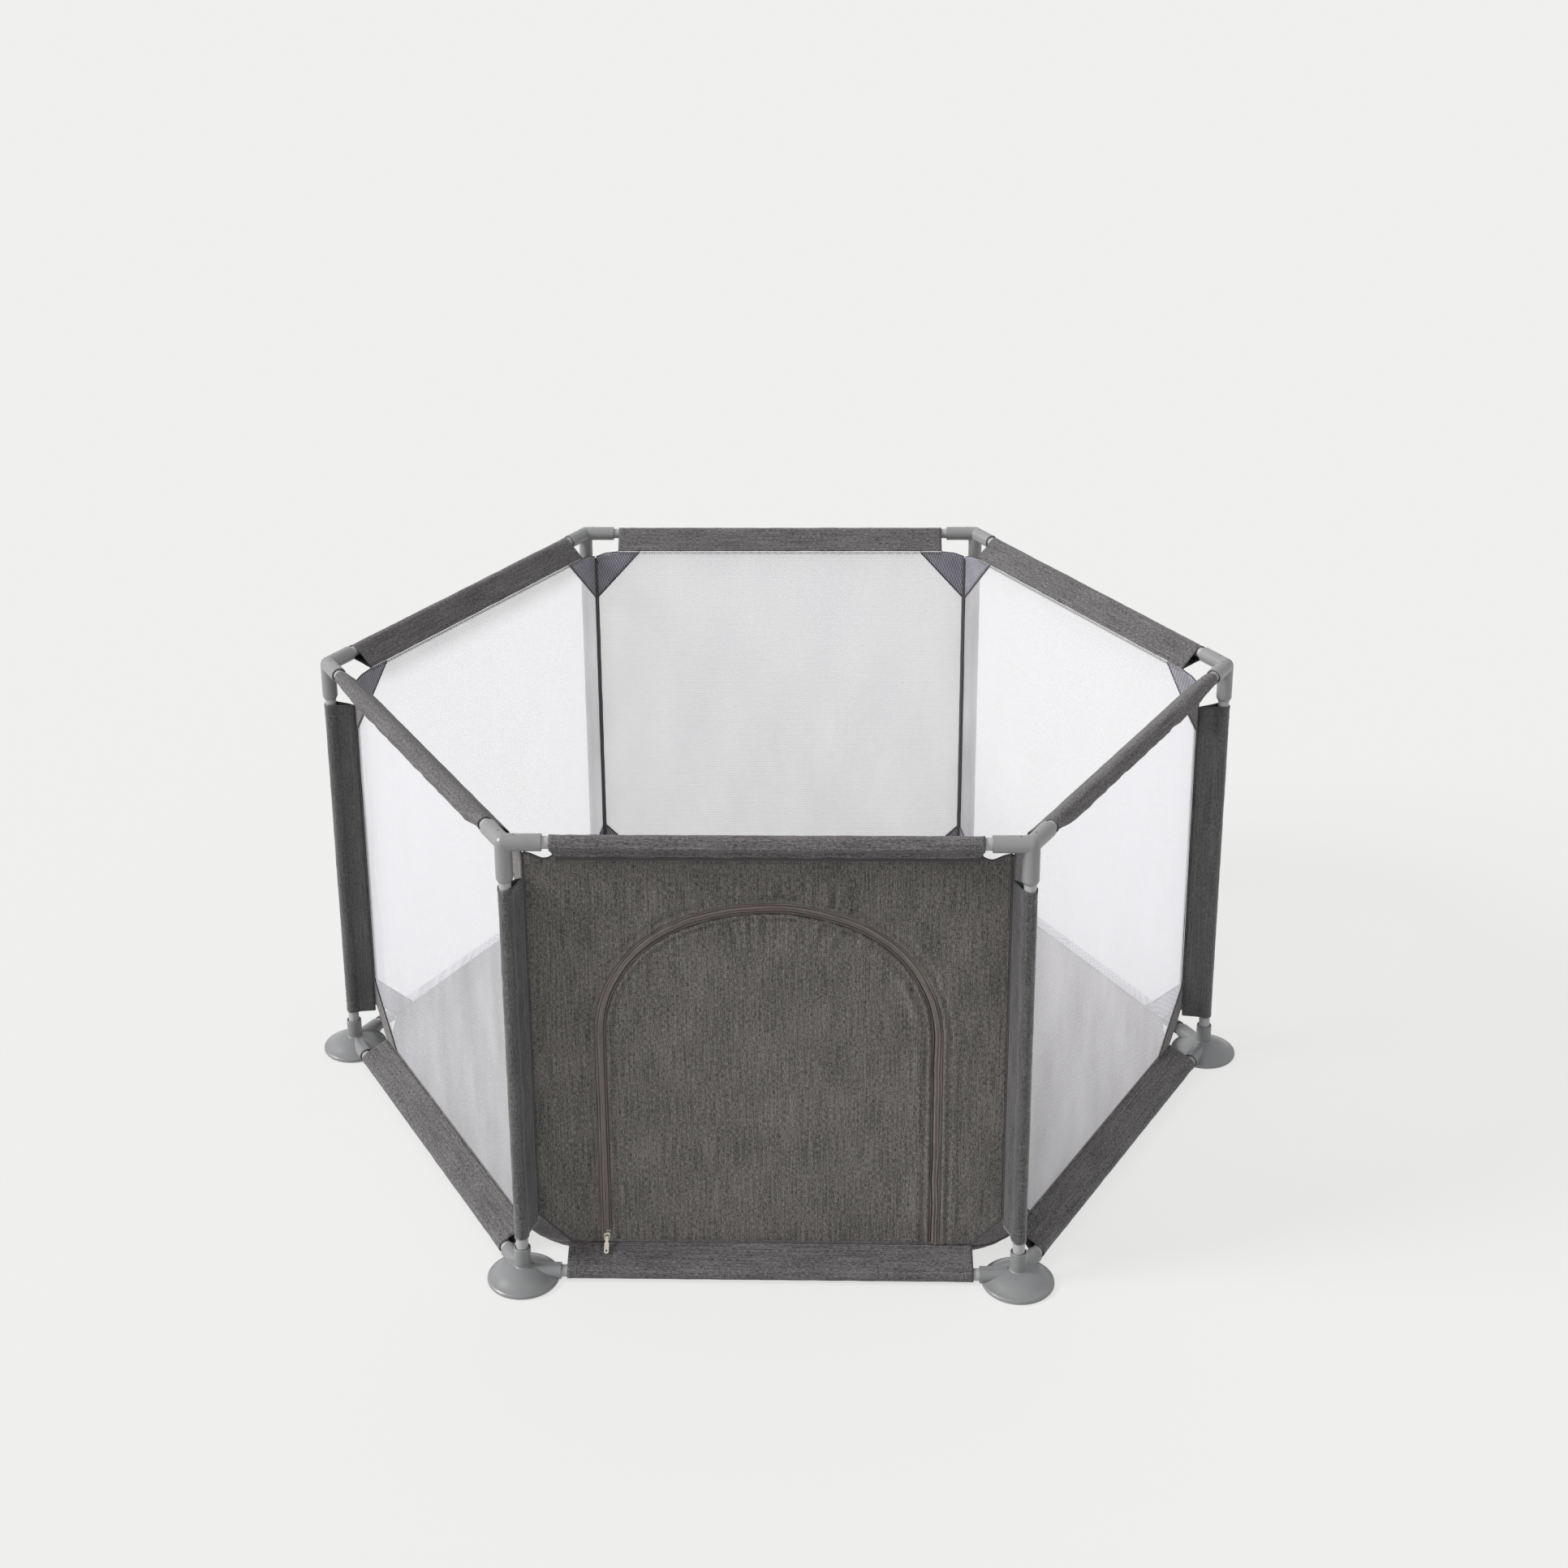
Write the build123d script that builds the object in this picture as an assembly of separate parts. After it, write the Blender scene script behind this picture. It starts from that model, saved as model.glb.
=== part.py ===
from build123d import *
import os
from math import cos, radians, sin, sqrt

# Hexagonal tube-frame playpen with a sewn cover and an arched zip door.
# Millimetres. Origin on the floor at the middle of the hexagon, +Z up.
# The door panel faces -Y and two corners of the hexagon lie on the X axis.

# Frame
SIDE_LENGTH = 650.0              # post axis to post axis
TOP_RAIL_HEIGHT = 640.0          # axis of the top rails
BOTTOM_RAIL_HEIGHT = 12.0        # axis of the bottom rails
TUBE_RADIUS = 8.0
TUBE_WALL = 0.6
TUBE_SETBACK = 16.5              # from a corner's centre to the end of a tube
CORNER_RADIUS = SIDE_LENGTH      # a hexagon's corners lie one side from its middle
APOTHEM = SIDE_LENGTH * sqrt(3) / 2

# Plastic connectors and feet
SOCKET_RADIUS = 11.0
SOCKET_BORE_RADIUS = TUBE_RADIUS + 0.15
MOUTH_RADIUS = 9.4
MOUTH_DEPTH = 3.0
BORE_START = 15.5                # blind end of each bore, from the corner's centre
TOP_ARM_LENGTH = 47.5
TOP_LEG_LENGTH = 53.5
LEG_TAPER_LENGTH = 4.5
FOOT_ARM_LENGTH = 50.3
FOOT_SOCKET_TOP = 49.0
FOOT_RADIUS = 48.0
FOOT_UNDERSIDE = 0.6
FOOT_RIM_TOP = 6.5
FOOT_RIM_BULGE = 1.8             # how far the rim's top edge lies inside its widest line
FOOT_RIM_ROUND = 1.2
DOME_SHOULDER = (32.0, 14.6)     # points of the dome's curve, from the post's axis
DOME_CROWN = (18.0, 20.6)
DOME_TOP = 22.5
PAD_RADIUS = 38.0
PAD_THICKNESS = 2.5
PAD_GAP = 0.4
VENT_RADIUS = 1.3
VENT_OFFSET = 13.0
CROTCH_ROUND = 2.5
FOOT_JOINT_ROUND = 2.0
SOCKET_RIM_ROUND = 0.8
CUT_MARGIN = 5.0                 # how far a cutting shape runs past the face it opens

# Sewn cover
CLOTH = 1.5                      # thickness of the cover's panels
PANEL_APOTHEM = 531.0            # middle of the panels' thickness
PANEL_HALF_WIDTH = 303.5
PANEL_BOTTOM = 36.0
PANEL_TOP = 619.0
CORNER_TOP = 607.0
BOTTOM_CUT = 40.0
SLEEVE_CLOTH = 1.2
SLEEVE_BORE_RADIUS = TUBE_RADIUS + 0.5
SEAM_FOLD_RADIUS = 0.3
LIP_RADIUS = 1.8
TOP_SLEEVE_LIP = (4.0, -15.5)    # lowest fold of a top sleeve, outward and up from the rail
SLEEVE_SEAM_RISE = 2.0           # a sleeve's seam lies this far past the panel's edge
TOP_SEAM_OUT = 0.6               # from the panel's mid-plane to the seam's fold
BOTTOM_SEAM_OUT = 1.4
FIN_THICKNESS = 2.0
FIN_GAP = 0.3
TOP_SLEEVE_LENGTH = 538.0
BOTTOM_SLEEVE_LENGTH = 534.0
POST_SLEEVE_BOTTOM = 65.0
POST_SLEEVE_TOP = 579.0
POST_SLEEVE_SLOPE = 4.0          # the top edge drops this much from the post to the seam
SEAM_RADIUS = 613.6              # inner face of the corner seam strips
SEAM_STRIP_WIDTH = 8.0
UPPER_GUSSET = 75.0
LOWER_GUSSET = 82.0
GUSSET_CLOTH = 0.6
FLOOR_BOTTOM = 1.0

# Zip door
ZIP_HALF_WIDTH = 216.0           # chain centre on the straight legs
ZIP_APEX = 533.0
ARCH_CORNER_RADIUS = 175.0
ARCH_CROWN_RADIUS = 275.0
TAPE_WIDTH = 12.5
TAPE_CLOTH = 0.9
COIL_THICKNESS = 2.4
COIL_WIDTH = 2.6
CHAIN_HALF_GAP = 1.0
DOOR_BOTTOM = 39.0
SLIDER_BOTTOM = 39.0
SLIDER_HEIGHT = 11.0
SLIDER_WIDTH = 8.6
DOOR_TAPE_START = 55.0           # the door's left tape starts above the parked slider
SLIDER_CORNER = 2.4
SLIDER_PLATE = 1.3
SLIDER_GAP = 0.3                 # between the coil and each plate
WEB_WIDTH = 1.0
WEB_HEIGHT = 6.0
CHEEK_SPREAD = 2.6               # from the middle of the slider to each cheek
CHEEK_WIDTH = 1.0
CHEEK_HEIGHT = 4.2
PIN_RADIUS = 0.7
PIN_LENGTH = 5.4
PIN_STANDOFF = 2.1               # from the outer plate's face to the pin's axis
PULL_LENGTH = 21.0
PULL_WIDTH = 6.0
PULL_THICKNESS = 1.2
PULL_CORNER = 2.2
PULL_HOLE_RADIUS = 1.5
PULL_HOLE_INSET = 3.6            # from the tip to the hole's middle
WAIST_RADIUS = 2.0
EYE_RADIUS = 1.7
EYE_BORE_RADIUS = 0.85
EYE_HALF_LENGTH = 1.6
NECK_WIDTH = 3.2
NECK_LENGTH = 2.4
PULL_REST_ANGLE = 47.0           # from straight down, leaning out over the bottom sleeve
PULL_PIVOT_HEIGHT = 45.0

CORNERS = {
    "right": 0,
    "back_right": 60,
    "back_left": 120,
    "left": 180,
    "front_left": 240,
    "front_right": 300,
}
SIDES = {
    "right_back": 30,
    "back": 90,
    "left_back": 150,
    "left_front": 210,
    "front": 270,
    "right_front": 330,
}
MESH_SIDES = [name for name in SIDES if name != "front"]
PANEL_OFFSET = PANEL_APOTHEM - APOTHEM   # panel mid-plane, seen from the rail's axis


def at_corner(shape, name):
    """Local +X points outward from the post's axis, Z starts at the floor."""
    return Rot(0, 0, CORNERS[name]) * Pos(CORNER_RADIUS, 0, 0) * shape


def at_side(shape, name):
    """Local +X points outward, +Y runs along the side, the rail lies over X = 0."""
    return Rot(0, 0, SIDES[name]) * Pos(APOTHEM, 0, 0) * shape


def side_plate(face, inner, outer):
    """A face drawn in (along the side, height), made solid between two X planes."""
    return Pos(inner, 0, 0) * extrude(Plane.YZ * face, outer - inner)


def tube(length):
    ring = Circle(TUBE_RADIUS) - Circle(TUBE_RADIUS - TUBE_WALL)
    return extrude(ring, length)


def arm_direction(side):
    """Turns +Z into the direction of one of the two rails that leave a corner."""
    return Rot(0, 0, 180 + side * 60) * Rot(0, 90, 0)


# Frame tubes

def rail(height):
    length = SIDE_LENGTH - 2 * TUBE_SETBACK
    return Pos(0, -length / 2, height) * Rot(-90, 0, 0) * tube(length)


def post():
    bottom = BOTTOM_RAIL_HEIGHT + TUBE_SETBACK
    top = TOP_RAIL_HEIGHT - TUBE_SETBACK
    return Pos(0, 0, bottom) * tube(top - bottom)


# Connectors and feet

def socket_bore(length):
    bore = Pos(0, 0, BORE_START) * extrude(Circle(SOCKET_BORE_RADIUS), length)
    mouth = Pos(0, 0, length - MOUTH_DEPTH) * extrude(Circle(MOUTH_RADIUS), MOUTH_DEPTH + CUT_MARGIN)
    return bore + mouth


def vent_hole(height, side):
    hole = Pos(VENT_OFFSET, 0, height + SOCKET_RADIUS - 3) * Cylinder(VENT_RADIUS, 12)
    return Rot(0, 0, 180 + side * 60) * hole


def soften(shape, radius, picked):
    """Rounds the picked edges, at a smaller radius where the full one can't be made."""
    for share in (1.0, 0.6, 0.3):
        try:
            rounded = fillet(picked, radius * share)
        except Exception:
            continue
        if rounded.is_valid and rounded.volume > 0:
            return rounded
    return shape


def top_connector():
    body = Sphere(SOCKET_RADIUS)
    for side in (-1, 1):
        body += arm_direction(side) * extrude(Circle(SOCKET_RADIUS), TOP_ARM_LENGTH)
    straight = TOP_LEG_LENGTH - LEG_TAPER_LENGTH
    body += Pos(0, 0, -straight) * extrude(Circle(SOCKET_RADIUS), straight)
    taper = Cone(TUBE_RADIUS + 0.9, SOCKET_RADIUS, LEG_TAPER_LENGTH)
    body += Pos(0, 0, -straight - LEG_TAPER_LENGTH / 2) * taper
    inner = [edge for edge in body.edges() if edge.center().Z < -3 and is_crotch(edge)]
    body = soften(body, CROTCH_ROUND, inner)
    for side in (-1, 1):
        body -= arm_direction(side) * socket_bore(TOP_ARM_LENGTH)
        body -= vent_hole(0, side)
    leg_bore = extrude(Circle(SOCKET_BORE_RADIUS), TOP_LEG_LENGTH + CUT_MARGIN - BORE_START)
    body -= Pos(0, 0, -TOP_LEG_LENGTH - CUT_MARGIN) * leg_bore
    return Pos(0, 0, TOP_RAIL_HEIGHT) * body


def is_crotch(edge):
    """Edges where two arms meet: near the corner's centre, and not a mouth's circle."""
    near = edge.center().length < 3 * SOCKET_RADIUS
    return near and edge.geom_type not in (GeomType.CIRCLE, GeomType.LINE)


def foot_dome():
    """Low dome with a rounded rim, drawn as half a section and turned about the post."""
    section = Polyline(
        (0, DOME_TOP),
        (0, FOOT_UNDERSIDE),
        (FOOT_RADIUS - FOOT_RIM_ROUND, FOOT_UNDERSIDE),
        (FOOT_RADIUS, FOOT_UNDERSIDE + FOOT_RIM_BULGE),
        (FOOT_RADIUS - FOOT_RIM_ROUND / 3, FOOT_RIM_TOP - FOOT_RIM_ROUND),
        (FOOT_RADIUS - FOOT_RIM_BULGE, FOOT_RIM_TOP),
    )
    dome = Spline(
        (FOOT_RADIUS - FOOT_RIM_BULGE, FOOT_RIM_TOP),
        DOME_SHOULDER,
        DOME_CROWN,
        (0, DOME_TOP),
        tangents=[(-1, 0.35), (-1, 0)],
    )
    face = make_face(section + dome)
    return revolve(Plane.XZ * face, Axis.Z)


def foot():
    body = foot_dome()
    lift = Pos(0, 0, BOTTOM_RAIL_HEIGHT)
    for side in (-1, 1):
        body += lift * arm_direction(side) * extrude(Circle(SOCKET_RADIUS), FOOT_ARM_LENGTH)
    socket_start = FOOT_RIM_TOP
    body += Pos(0, 0, socket_start) * extrude(Circle(SOCKET_RADIUS), FOOT_SOCKET_TOP - socket_start)
    joints = [edge for edge in body.edges() if is_foot_joint(edge)]
    body = soften(body, FOOT_JOINT_ROUND, joints)
    rim = [edge for edge in body.edges() if is_socket_rim(edge)]
    body = soften(body, SOCKET_RIM_ROUND, rim)
    for side in (-1, 1):
        body -= lift * arm_direction(side) * socket_bore(FOOT_ARM_LENGTH)
        body -= vent_hole(BOTTOM_RAIL_HEIGHT, side)
    post_bore = Pos(0, 0, BOTTOM_RAIL_HEIGHT) * socket_bore(FOOT_SOCKET_TOP - BOTTOM_RAIL_HEIGHT)
    pad_recess = extrude(Circle(PAD_RADIUS + PAD_GAP), PAD_THICKNESS)
    return body - post_bore - pad_recess


def is_foot_joint(edge):
    """The seam between the post's socket and the dome with its arms."""
    box = edge.bounding_box()
    reach = max(abs(box.min.X), abs(box.max.X), abs(box.min.Y), abs(box.max.Y))
    return reach < SOCKET_RADIUS + 1 and 15 < edge.center().Z < FOOT_SOCKET_TOP - 5


def is_socket_rim(edge):
    """The post socket's top outer edge."""
    return abs(edge.center().Z - FOOT_SOCKET_TOP) < 0.01 and edge.geom_type == GeomType.CIRCLE


def foot_pad():
    return extrude(Circle(PAD_RADIUS), PAD_THICKNESS)


# Sewn cover

def sleeve_loop(seam, lip=None, grow=0.0):
    """Outline of a cloth loop: round the rail, then flat to its seam inside the frame."""
    rounds = [Circle(SLEEVE_BORE_RADIUS + grow), Pos(*seam) * Circle(SEAM_FOLD_RADIUS + grow)]
    if lip:
        rounds.append(Pos(*lip) * Circle(LIP_RADIUS + grow))
    return make_hull([edge for shape in rounds for edge in shape.edges()])


def rail_sleeve(height, length, seam, lip=None):
    """Seam and lip are (outward, up) from the rail's axis."""
    section = sleeve_loop(seam, lip, SLEEVE_CLOTH) - sleeve_loop(seam, lip)
    upright = Plane(origin=(0, -length / 2, height), x_dir=(1, 0, 0), z_dir=(0, 1, 0))
    return extrude(upright * mirror(section, Plane.XZ), length)


def top_sleeve():
    seam = (PANEL_OFFSET + TOP_SEAM_OUT, PANEL_TOP + SLEEVE_SEAM_RISE - TOP_RAIL_HEIGHT)
    return rail_sleeve(TOP_RAIL_HEIGHT, TOP_SLEEVE_LENGTH, seam, TOP_SLEEVE_LIP)


def bottom_sleeve():
    seam = (PANEL_OFFSET + BOTTOM_SEAM_OUT, PANEL_BOTTOM - SLEEVE_SEAM_RISE - BOTTOM_RAIL_HEIGHT)
    return rail_sleeve(BOTTOM_RAIL_HEIGHT, BOTTOM_SLEEVE_LENGTH, seam)


def post_sleeve():
    """Cloth round the post, with a flat double fin that runs in to the corner seam."""
    length = POST_SLEEVE_TOP - POST_SLEEVE_BOTTOM
    fin_inner = SEAM_RADIUS + CLOTH + FIN_GAP - CORNER_RADIUS
    fin = Pos(fin_inner / 2, 0) * Rectangle(-fin_inner, FIN_THICKNESS)
    section = Circle(SLEEVE_BORE_RADIUS + SLEEVE_CLOTH) + fin - Circle(SLEEVE_BORE_RADIUS)
    sleeve = Pos(0, 0, POST_SLEEVE_BOTTOM) * extrude(section, length)
    slope = Polyline(
        (fin_inner - 1, POST_SLEEVE_TOP - POST_SLEEVE_SLOPE),
        (-TUBE_RADIUS, POST_SLEEVE_TOP),
        (-TUBE_RADIUS, POST_SLEEVE_TOP + CUT_MARGIN),
        (fin_inner - 1, POST_SLEEVE_TOP + CUT_MARGIN),
        close=True,
    )
    return sleeve - extrude(Plane.XZ * make_face(slope), FIN_THICKNESS, both=True)


def seam_strip():
    bottom = PANEL_BOTTOM + BOTTOM_CUT
    strip = Box(CLOTH, SEAM_STRIP_WIDTH, CORNER_TOP - bottom,
                align=(Align.MIN, Align.CENTER, Align.MIN))
    return Pos(SEAM_RADIUS - CORNER_RADIUS, 0, bottom) * strip


def panel_outline():
    """One panel: cut corners at the bottom, a shallow dip at each top corner."""
    half = [
        (PANEL_HALF_WIDTH - BOTTOM_CUT, PANEL_BOTTOM),
        (PANEL_HALF_WIDTH, PANEL_BOTTOM + BOTTOM_CUT),
        (PANEL_HALF_WIDTH, CORNER_TOP),
        (TOP_SLEEVE_LENGTH / 2, PANEL_TOP),
    ]
    other_half = [(-along, height) for along, height in reversed(half)]
    return make_face(Polyline(*half, *other_half, close=True))


def panel_plate(face, thickness=CLOTH):
    return side_plate(face, PANEL_OFFSET - thickness / 2, PANEL_OFFSET + thickness / 2)


def gusset_pair(corner, reach, direction):
    """Triangular patches over both corners of a panel's upper or lower edge."""
    edge = PANEL_TOP if direction < 0 else PANEL_BOTTOM
    inner = (PANEL_HALF_WIDTH - reach, edge)
    outer = (PANEL_HALF_WIDTH, edge + direction * reach)
    patch = make_face(Polyline(inner, *corner, outer, close=True))
    outer_face = PANEL_OFFSET + CLOTH / 2
    patches = patch + mirror(patch, Plane.YZ)
    return side_plate(patches, outer_face, outer_face + GUSSET_CLOTH)


def upper_gussets():
    corner = [(TOP_SLEEVE_LENGTH / 2, PANEL_TOP), (PANEL_HALF_WIDTH, CORNER_TOP)]
    return gusset_pair(corner, UPPER_GUSSET, -1)


def lower_gussets():
    corner = [
        (PANEL_HALF_WIDTH - BOTTOM_CUT, PANEL_BOTTOM),
        (PANEL_HALF_WIDTH, PANEL_BOTTOM + BOTTOM_CUT),
    ]
    return gusset_pair(corner, LOWER_GUSSET, 1)


def floor_cloth():
    """Flat sheet with the hexagon's corners cut off to clear the feet."""
    half = PANEL_HALF_WIDTH - BOTTOM_CUT
    points = []
    for azimuth in SIDES.values():
        turn = radians(azimuth)
        for along in (-half, half):
            points.append((
                PANEL_APOTHEM * cos(turn) - along * sin(turn),
                PANEL_APOTHEM * sin(turn) + along * cos(turn),
            ))
    return Pos(0, 0, FLOOR_BOTTOM) * extrude(make_face(Polyline(*points, close=True)), CLOTH)


# Zip door

def door_arch(offset, bottom=PANEL_BOTTOM):
    """Doorway outline at an offset outside the zip's centre line: a three-centred arch."""
    corner_x = ZIP_HALF_WIDTH - ARCH_CORNER_RADIUS
    crown_y = ZIP_APEX - ARCH_CROWN_RADIUS
    centre_gap = ARCH_CROWN_RADIUS - ARCH_CORNER_RADIUS
    spring_y = crown_y + sqrt(centre_gap**2 - corner_x**2)
    half_width = ZIP_HALF_WIDTH + offset
    corner_radius = ARCH_CORNER_RADIUS + offset
    crown_radius = ARCH_CROWN_RADIUS + offset
    # direction from the crown's centre through a corner arc's centre, to where the arcs meet
    toward = Vector(corner_x, spring_y - crown_y).normalized()
    meet = Vector(0, crown_y) + toward * crown_radius
    mid = (toward + Vector(1, 0)).normalized()
    shoulder = Vector(corner_x, spring_y) + mid * corner_radius
    right_arc = ThreePointArc((half_width, spring_y), (shoulder.X, shoulder.Y), (meet.X, meet.Y))
    crown_arc = ThreePointArc((meet.X, meet.Y), (0, crown_y + crown_radius), (-meet.X, meet.Y))
    left_arc = ThreePointArc((-meet.X, meet.Y), (-shoulder.X, shoulder.Y), (-half_width, spring_y))
    legs = Polyline((-half_width, spring_y), (-half_width, bottom), (half_width, bottom),
                    (half_width, spring_y))
    return make_face(legs + right_arc + crown_arc + left_arc)


def front_panel():
    return panel_plate(panel_outline() - door_arch(TAPE_WIDTH))


def door_flap():
    return panel_plate(door_arch(-TAPE_WIDTH, DOOR_BOTTOM))


def zip_half(tape, coil):
    """A flat tape with its nylon coil along the edge that meets the other half."""
    return panel_plate(tape, TAPE_CLOTH) + panel_plate(coil, COIL_THICKNESS)


def zip_tape_panel():
    inner = door_arch(CHAIN_HALF_GAP)
    tape = door_arch(TAPE_WIDTH) - inner
    coil = door_arch(CHAIN_HALF_GAP + COIL_WIDTH) - inner
    return zip_half(tape, coil)


def zip_tape_door():
    outer = door_arch(-CHAIN_HALF_GAP, DOOR_BOTTOM)
    tape = outer - door_arch(-TAPE_WIDTH, DOOR_BOTTOM)
    coil = outer - door_arch(-CHAIN_HALF_GAP - COIL_WIDTH, DOOR_BOTTOM)
    parking = Pos(-ZIP_HALF_WIDTH, DOOR_BOTTOM) * Rectangle(
        4 * TAPE_WIDTH, 2 * (DOOR_TAPE_START - DOOR_BOTTOM))
    return zip_half(tape - parking, coil - parking)


def slider_parts():
    """Outer and inner plates, the web between them and two cheeks for the pull's pin."""
    channel = COIL_THICKNESS / 2 + SLIDER_GAP
    middle = SLIDER_BOTTOM + SLIDER_HEIGHT / 2
    plate = Pos(-ZIP_HALF_WIDTH, middle) * RectangleRounded(SLIDER_WIDTH, SLIDER_HEIGHT, SLIDER_CORNER)
    outer = side_plate(plate, PANEL_OFFSET + channel, PANEL_OFFSET + channel + SLIDER_PLATE)
    inner = side_plate(plate, PANEL_OFFSET - channel - SLIDER_PLATE, PANEL_OFFSET - channel)
    web_middle = SLIDER_BOTTOM + WEB_HEIGHT / 2 + WEB_WIDTH / 2
    web_face = Pos(-ZIP_HALF_WIDTH, web_middle) * Rectangle(WEB_WIDTH, WEB_HEIGHT)
    web_reach = channel + SLIDER_PLATE / 2
    body = outer + inner + side_plate(web_face, PANEL_OFFSET - web_reach, PANEL_OFFSET + web_reach)
    cheek_face = Pos(0, PULL_PIVOT_HEIGHT) * RectangleRounded(CHEEK_WIDTH, CHEEK_HEIGHT, CHEEK_WIDTH / 3)
    cheek_inner = PANEL_OFFSET + web_reach
    for side in (-1, 1):
        cheek = Pos(-ZIP_HALF_WIDTH + side * CHEEK_SPREAD, 0) * cheek_face
        body += side_plate(cheek, cheek_inner, pull_pivot_x() + 2 * PIN_RADIUS)
    pin = Pos(pull_pivot_x(), -ZIP_HALF_WIDTH, PULL_PIVOT_HEIGHT) * Rot(90, 0, 0)
    return body + pin * Cylinder(PIN_RADIUS, PIN_LENGTH)


def pull_pivot_x():
    return PANEL_OFFSET + COIL_THICKNESS / 2 + SLIDER_GAP + SLIDER_PLATE + PIN_STANDOFF


def zip_pull():
    """Small stamped tab with an eye round the slider's pin and a hole near its tip."""
    tab = Pos(0, -PULL_LENGTH / 2) * RectangleRounded(PULL_WIDTH, PULL_LENGTH, PULL_CORNER)
    tab = tab - Pos(0, PULL_HOLE_INSET - PULL_LENGTH) * Circle(PULL_HOLE_RADIUS)
    waist = Pos(0, -2 * EYE_RADIUS - WAIST_RADIUS)
    for side in (-1, 1):
        tab -= waist * Pos(side * PULL_WIDTH * 0.62, 0) * Circle(WAIST_RADIUS)
    # the wide part starts clear of the pin's cheeks
    tab -= Rectangle(PULL_WIDTH + CUT_MARGIN, 2 * (EYE_RADIUS + EYE_BORE_RADIUS))
    plate = extrude(tab, PULL_THICKNESS / 2, both=True)
    across = Rot(0, 90, 0)
    eye = across * extrude(Circle(EYE_RADIUS) - Circle(EYE_BORE_RADIUS), EYE_HALF_LENGTH, both=True)
    neck = Pos(0, -NECK_LENGTH) * Box(NECK_WIDTH, NECK_LENGTH, PULL_THICKNESS)
    bore = across * Cylinder(EYE_BORE_RADIUS, 2 * NECK_WIDTH)
    pull = plate + neck - bore + eye
    # the tab is drawn hanging down -Y; stand it up and lean it out over the sleeve
    upright = Rot(0, 0, 90) * Rot(90, 0, 0) * pull
    leaning = Rot(0, -PULL_REST_ANGLE, 0) * upright
    return Pos(pull_pivot_x(), -ZIP_HALF_WIDTH, PULL_PIVOT_HEIGHT) * leaning


# Write one file per node

def write(name, shape):
    solids = shape.solids()
    whole = solids[0] if len(solids) == 1 else Compound(children=list(solids))
    export_step(whole, f"parts/{name}.step")


def main():
    os.makedirs("parts", exist_ok=True)
    nodes = {}
    for corner in CORNERS:
        nodes[f"foot_{corner}"] = at_corner(foot_shape, corner)
        nodes[f"post_{corner}"] = at_corner(post(), corner)
        nodes[f"top_connector_{corner}"] = at_corner(connector_shape, corner)
        nodes[f"post_sleeve_{corner}"] = at_corner(post_sleeve(), corner)
    for side in SIDES:
        nodes[f"top_rail_{side}"] = at_side(rail(TOP_RAIL_HEIGHT), side)
        nodes[f"bottom_rail_{side}"] = at_side(rail(BOTTOM_RAIL_HEIGHT), side)
        nodes[f"top_sleeve_{side}"] = at_side(top_sleeve(), side)
    for side in MESH_SIDES:
        nodes[f"mesh_panel_{side}"] = at_side(panel_plate(panel_outline()), side)
    nodes["foot_pads"] = group([at_corner(foot_pad(), corner) for corner in CORNERS])
    nodes["corner_seams"] = group([at_corner(seam_strip(), corner) for corner in CORNERS])
    nodes["bottom_sleeves"] = group([at_side(bottom_sleeve(), side) for side in SIDES])
    nodes["upper_gussets"] = group([at_side(upper_gussets(), side) for side in MESH_SIDES])
    nodes["lower_gussets"] = group([at_side(lower_gussets(), side) for side in MESH_SIDES])
    nodes["floor_cloth"] = floor_cloth()
    nodes["front_panel"] = at_side(front_panel(), "front")
    nodes["door_flap"] = at_side(door_flap(), "front")
    nodes["zip_tape_panel"] = at_side(zip_tape_panel(), "front")
    nodes["zip_tape_door"] = at_side(zip_tape_door(), "front")
    nodes["zip_slider"] = at_side(slider_parts(), "front")
    nodes["zip_pull"] = at_side(zip_pull(), "front")
    for name, shape in nodes.items():
        write(name, shape)


def group(shapes):
    return Compound(children=[solid for shape in shapes for solid in shape.solids()])


foot_shape = foot()
connector_shape = top_connector()
main()
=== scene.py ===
"""Looks for a hexagonal playpen: sewn cover, zip door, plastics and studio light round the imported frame.

Lengths are millimetres until a mesh is written, which is in metres. A wall point is (out, along, up):
out from the rail's axis, along the side, up from the floor. A corner point is the same from the post's axis.
"""

from math import acos, atan2, cos, hypot, pi, radians, sin, sqrt

import bpy
import numpy as np
from mathutils import Matrix, Vector, noise


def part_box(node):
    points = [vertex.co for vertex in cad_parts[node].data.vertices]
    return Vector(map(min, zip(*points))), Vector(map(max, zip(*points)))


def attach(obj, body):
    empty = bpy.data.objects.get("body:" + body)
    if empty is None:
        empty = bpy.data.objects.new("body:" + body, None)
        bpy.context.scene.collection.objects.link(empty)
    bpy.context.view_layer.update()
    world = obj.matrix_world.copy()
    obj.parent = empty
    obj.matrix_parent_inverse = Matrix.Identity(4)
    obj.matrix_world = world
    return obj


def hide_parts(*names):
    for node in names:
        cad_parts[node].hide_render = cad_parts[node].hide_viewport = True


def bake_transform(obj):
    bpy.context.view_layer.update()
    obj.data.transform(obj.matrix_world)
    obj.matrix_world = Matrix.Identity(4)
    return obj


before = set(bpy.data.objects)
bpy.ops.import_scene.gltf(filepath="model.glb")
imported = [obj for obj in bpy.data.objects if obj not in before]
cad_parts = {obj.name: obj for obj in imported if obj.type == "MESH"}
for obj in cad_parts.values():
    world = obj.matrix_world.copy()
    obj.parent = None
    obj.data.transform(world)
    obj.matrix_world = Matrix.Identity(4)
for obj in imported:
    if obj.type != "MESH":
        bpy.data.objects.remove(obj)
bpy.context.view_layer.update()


def box_mm(node):
    low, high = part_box(node)
    return np.array(low) * 1000, np.array(high) * 1000


# ---------------------------------------------------------------- sizes read from the frame

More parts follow.
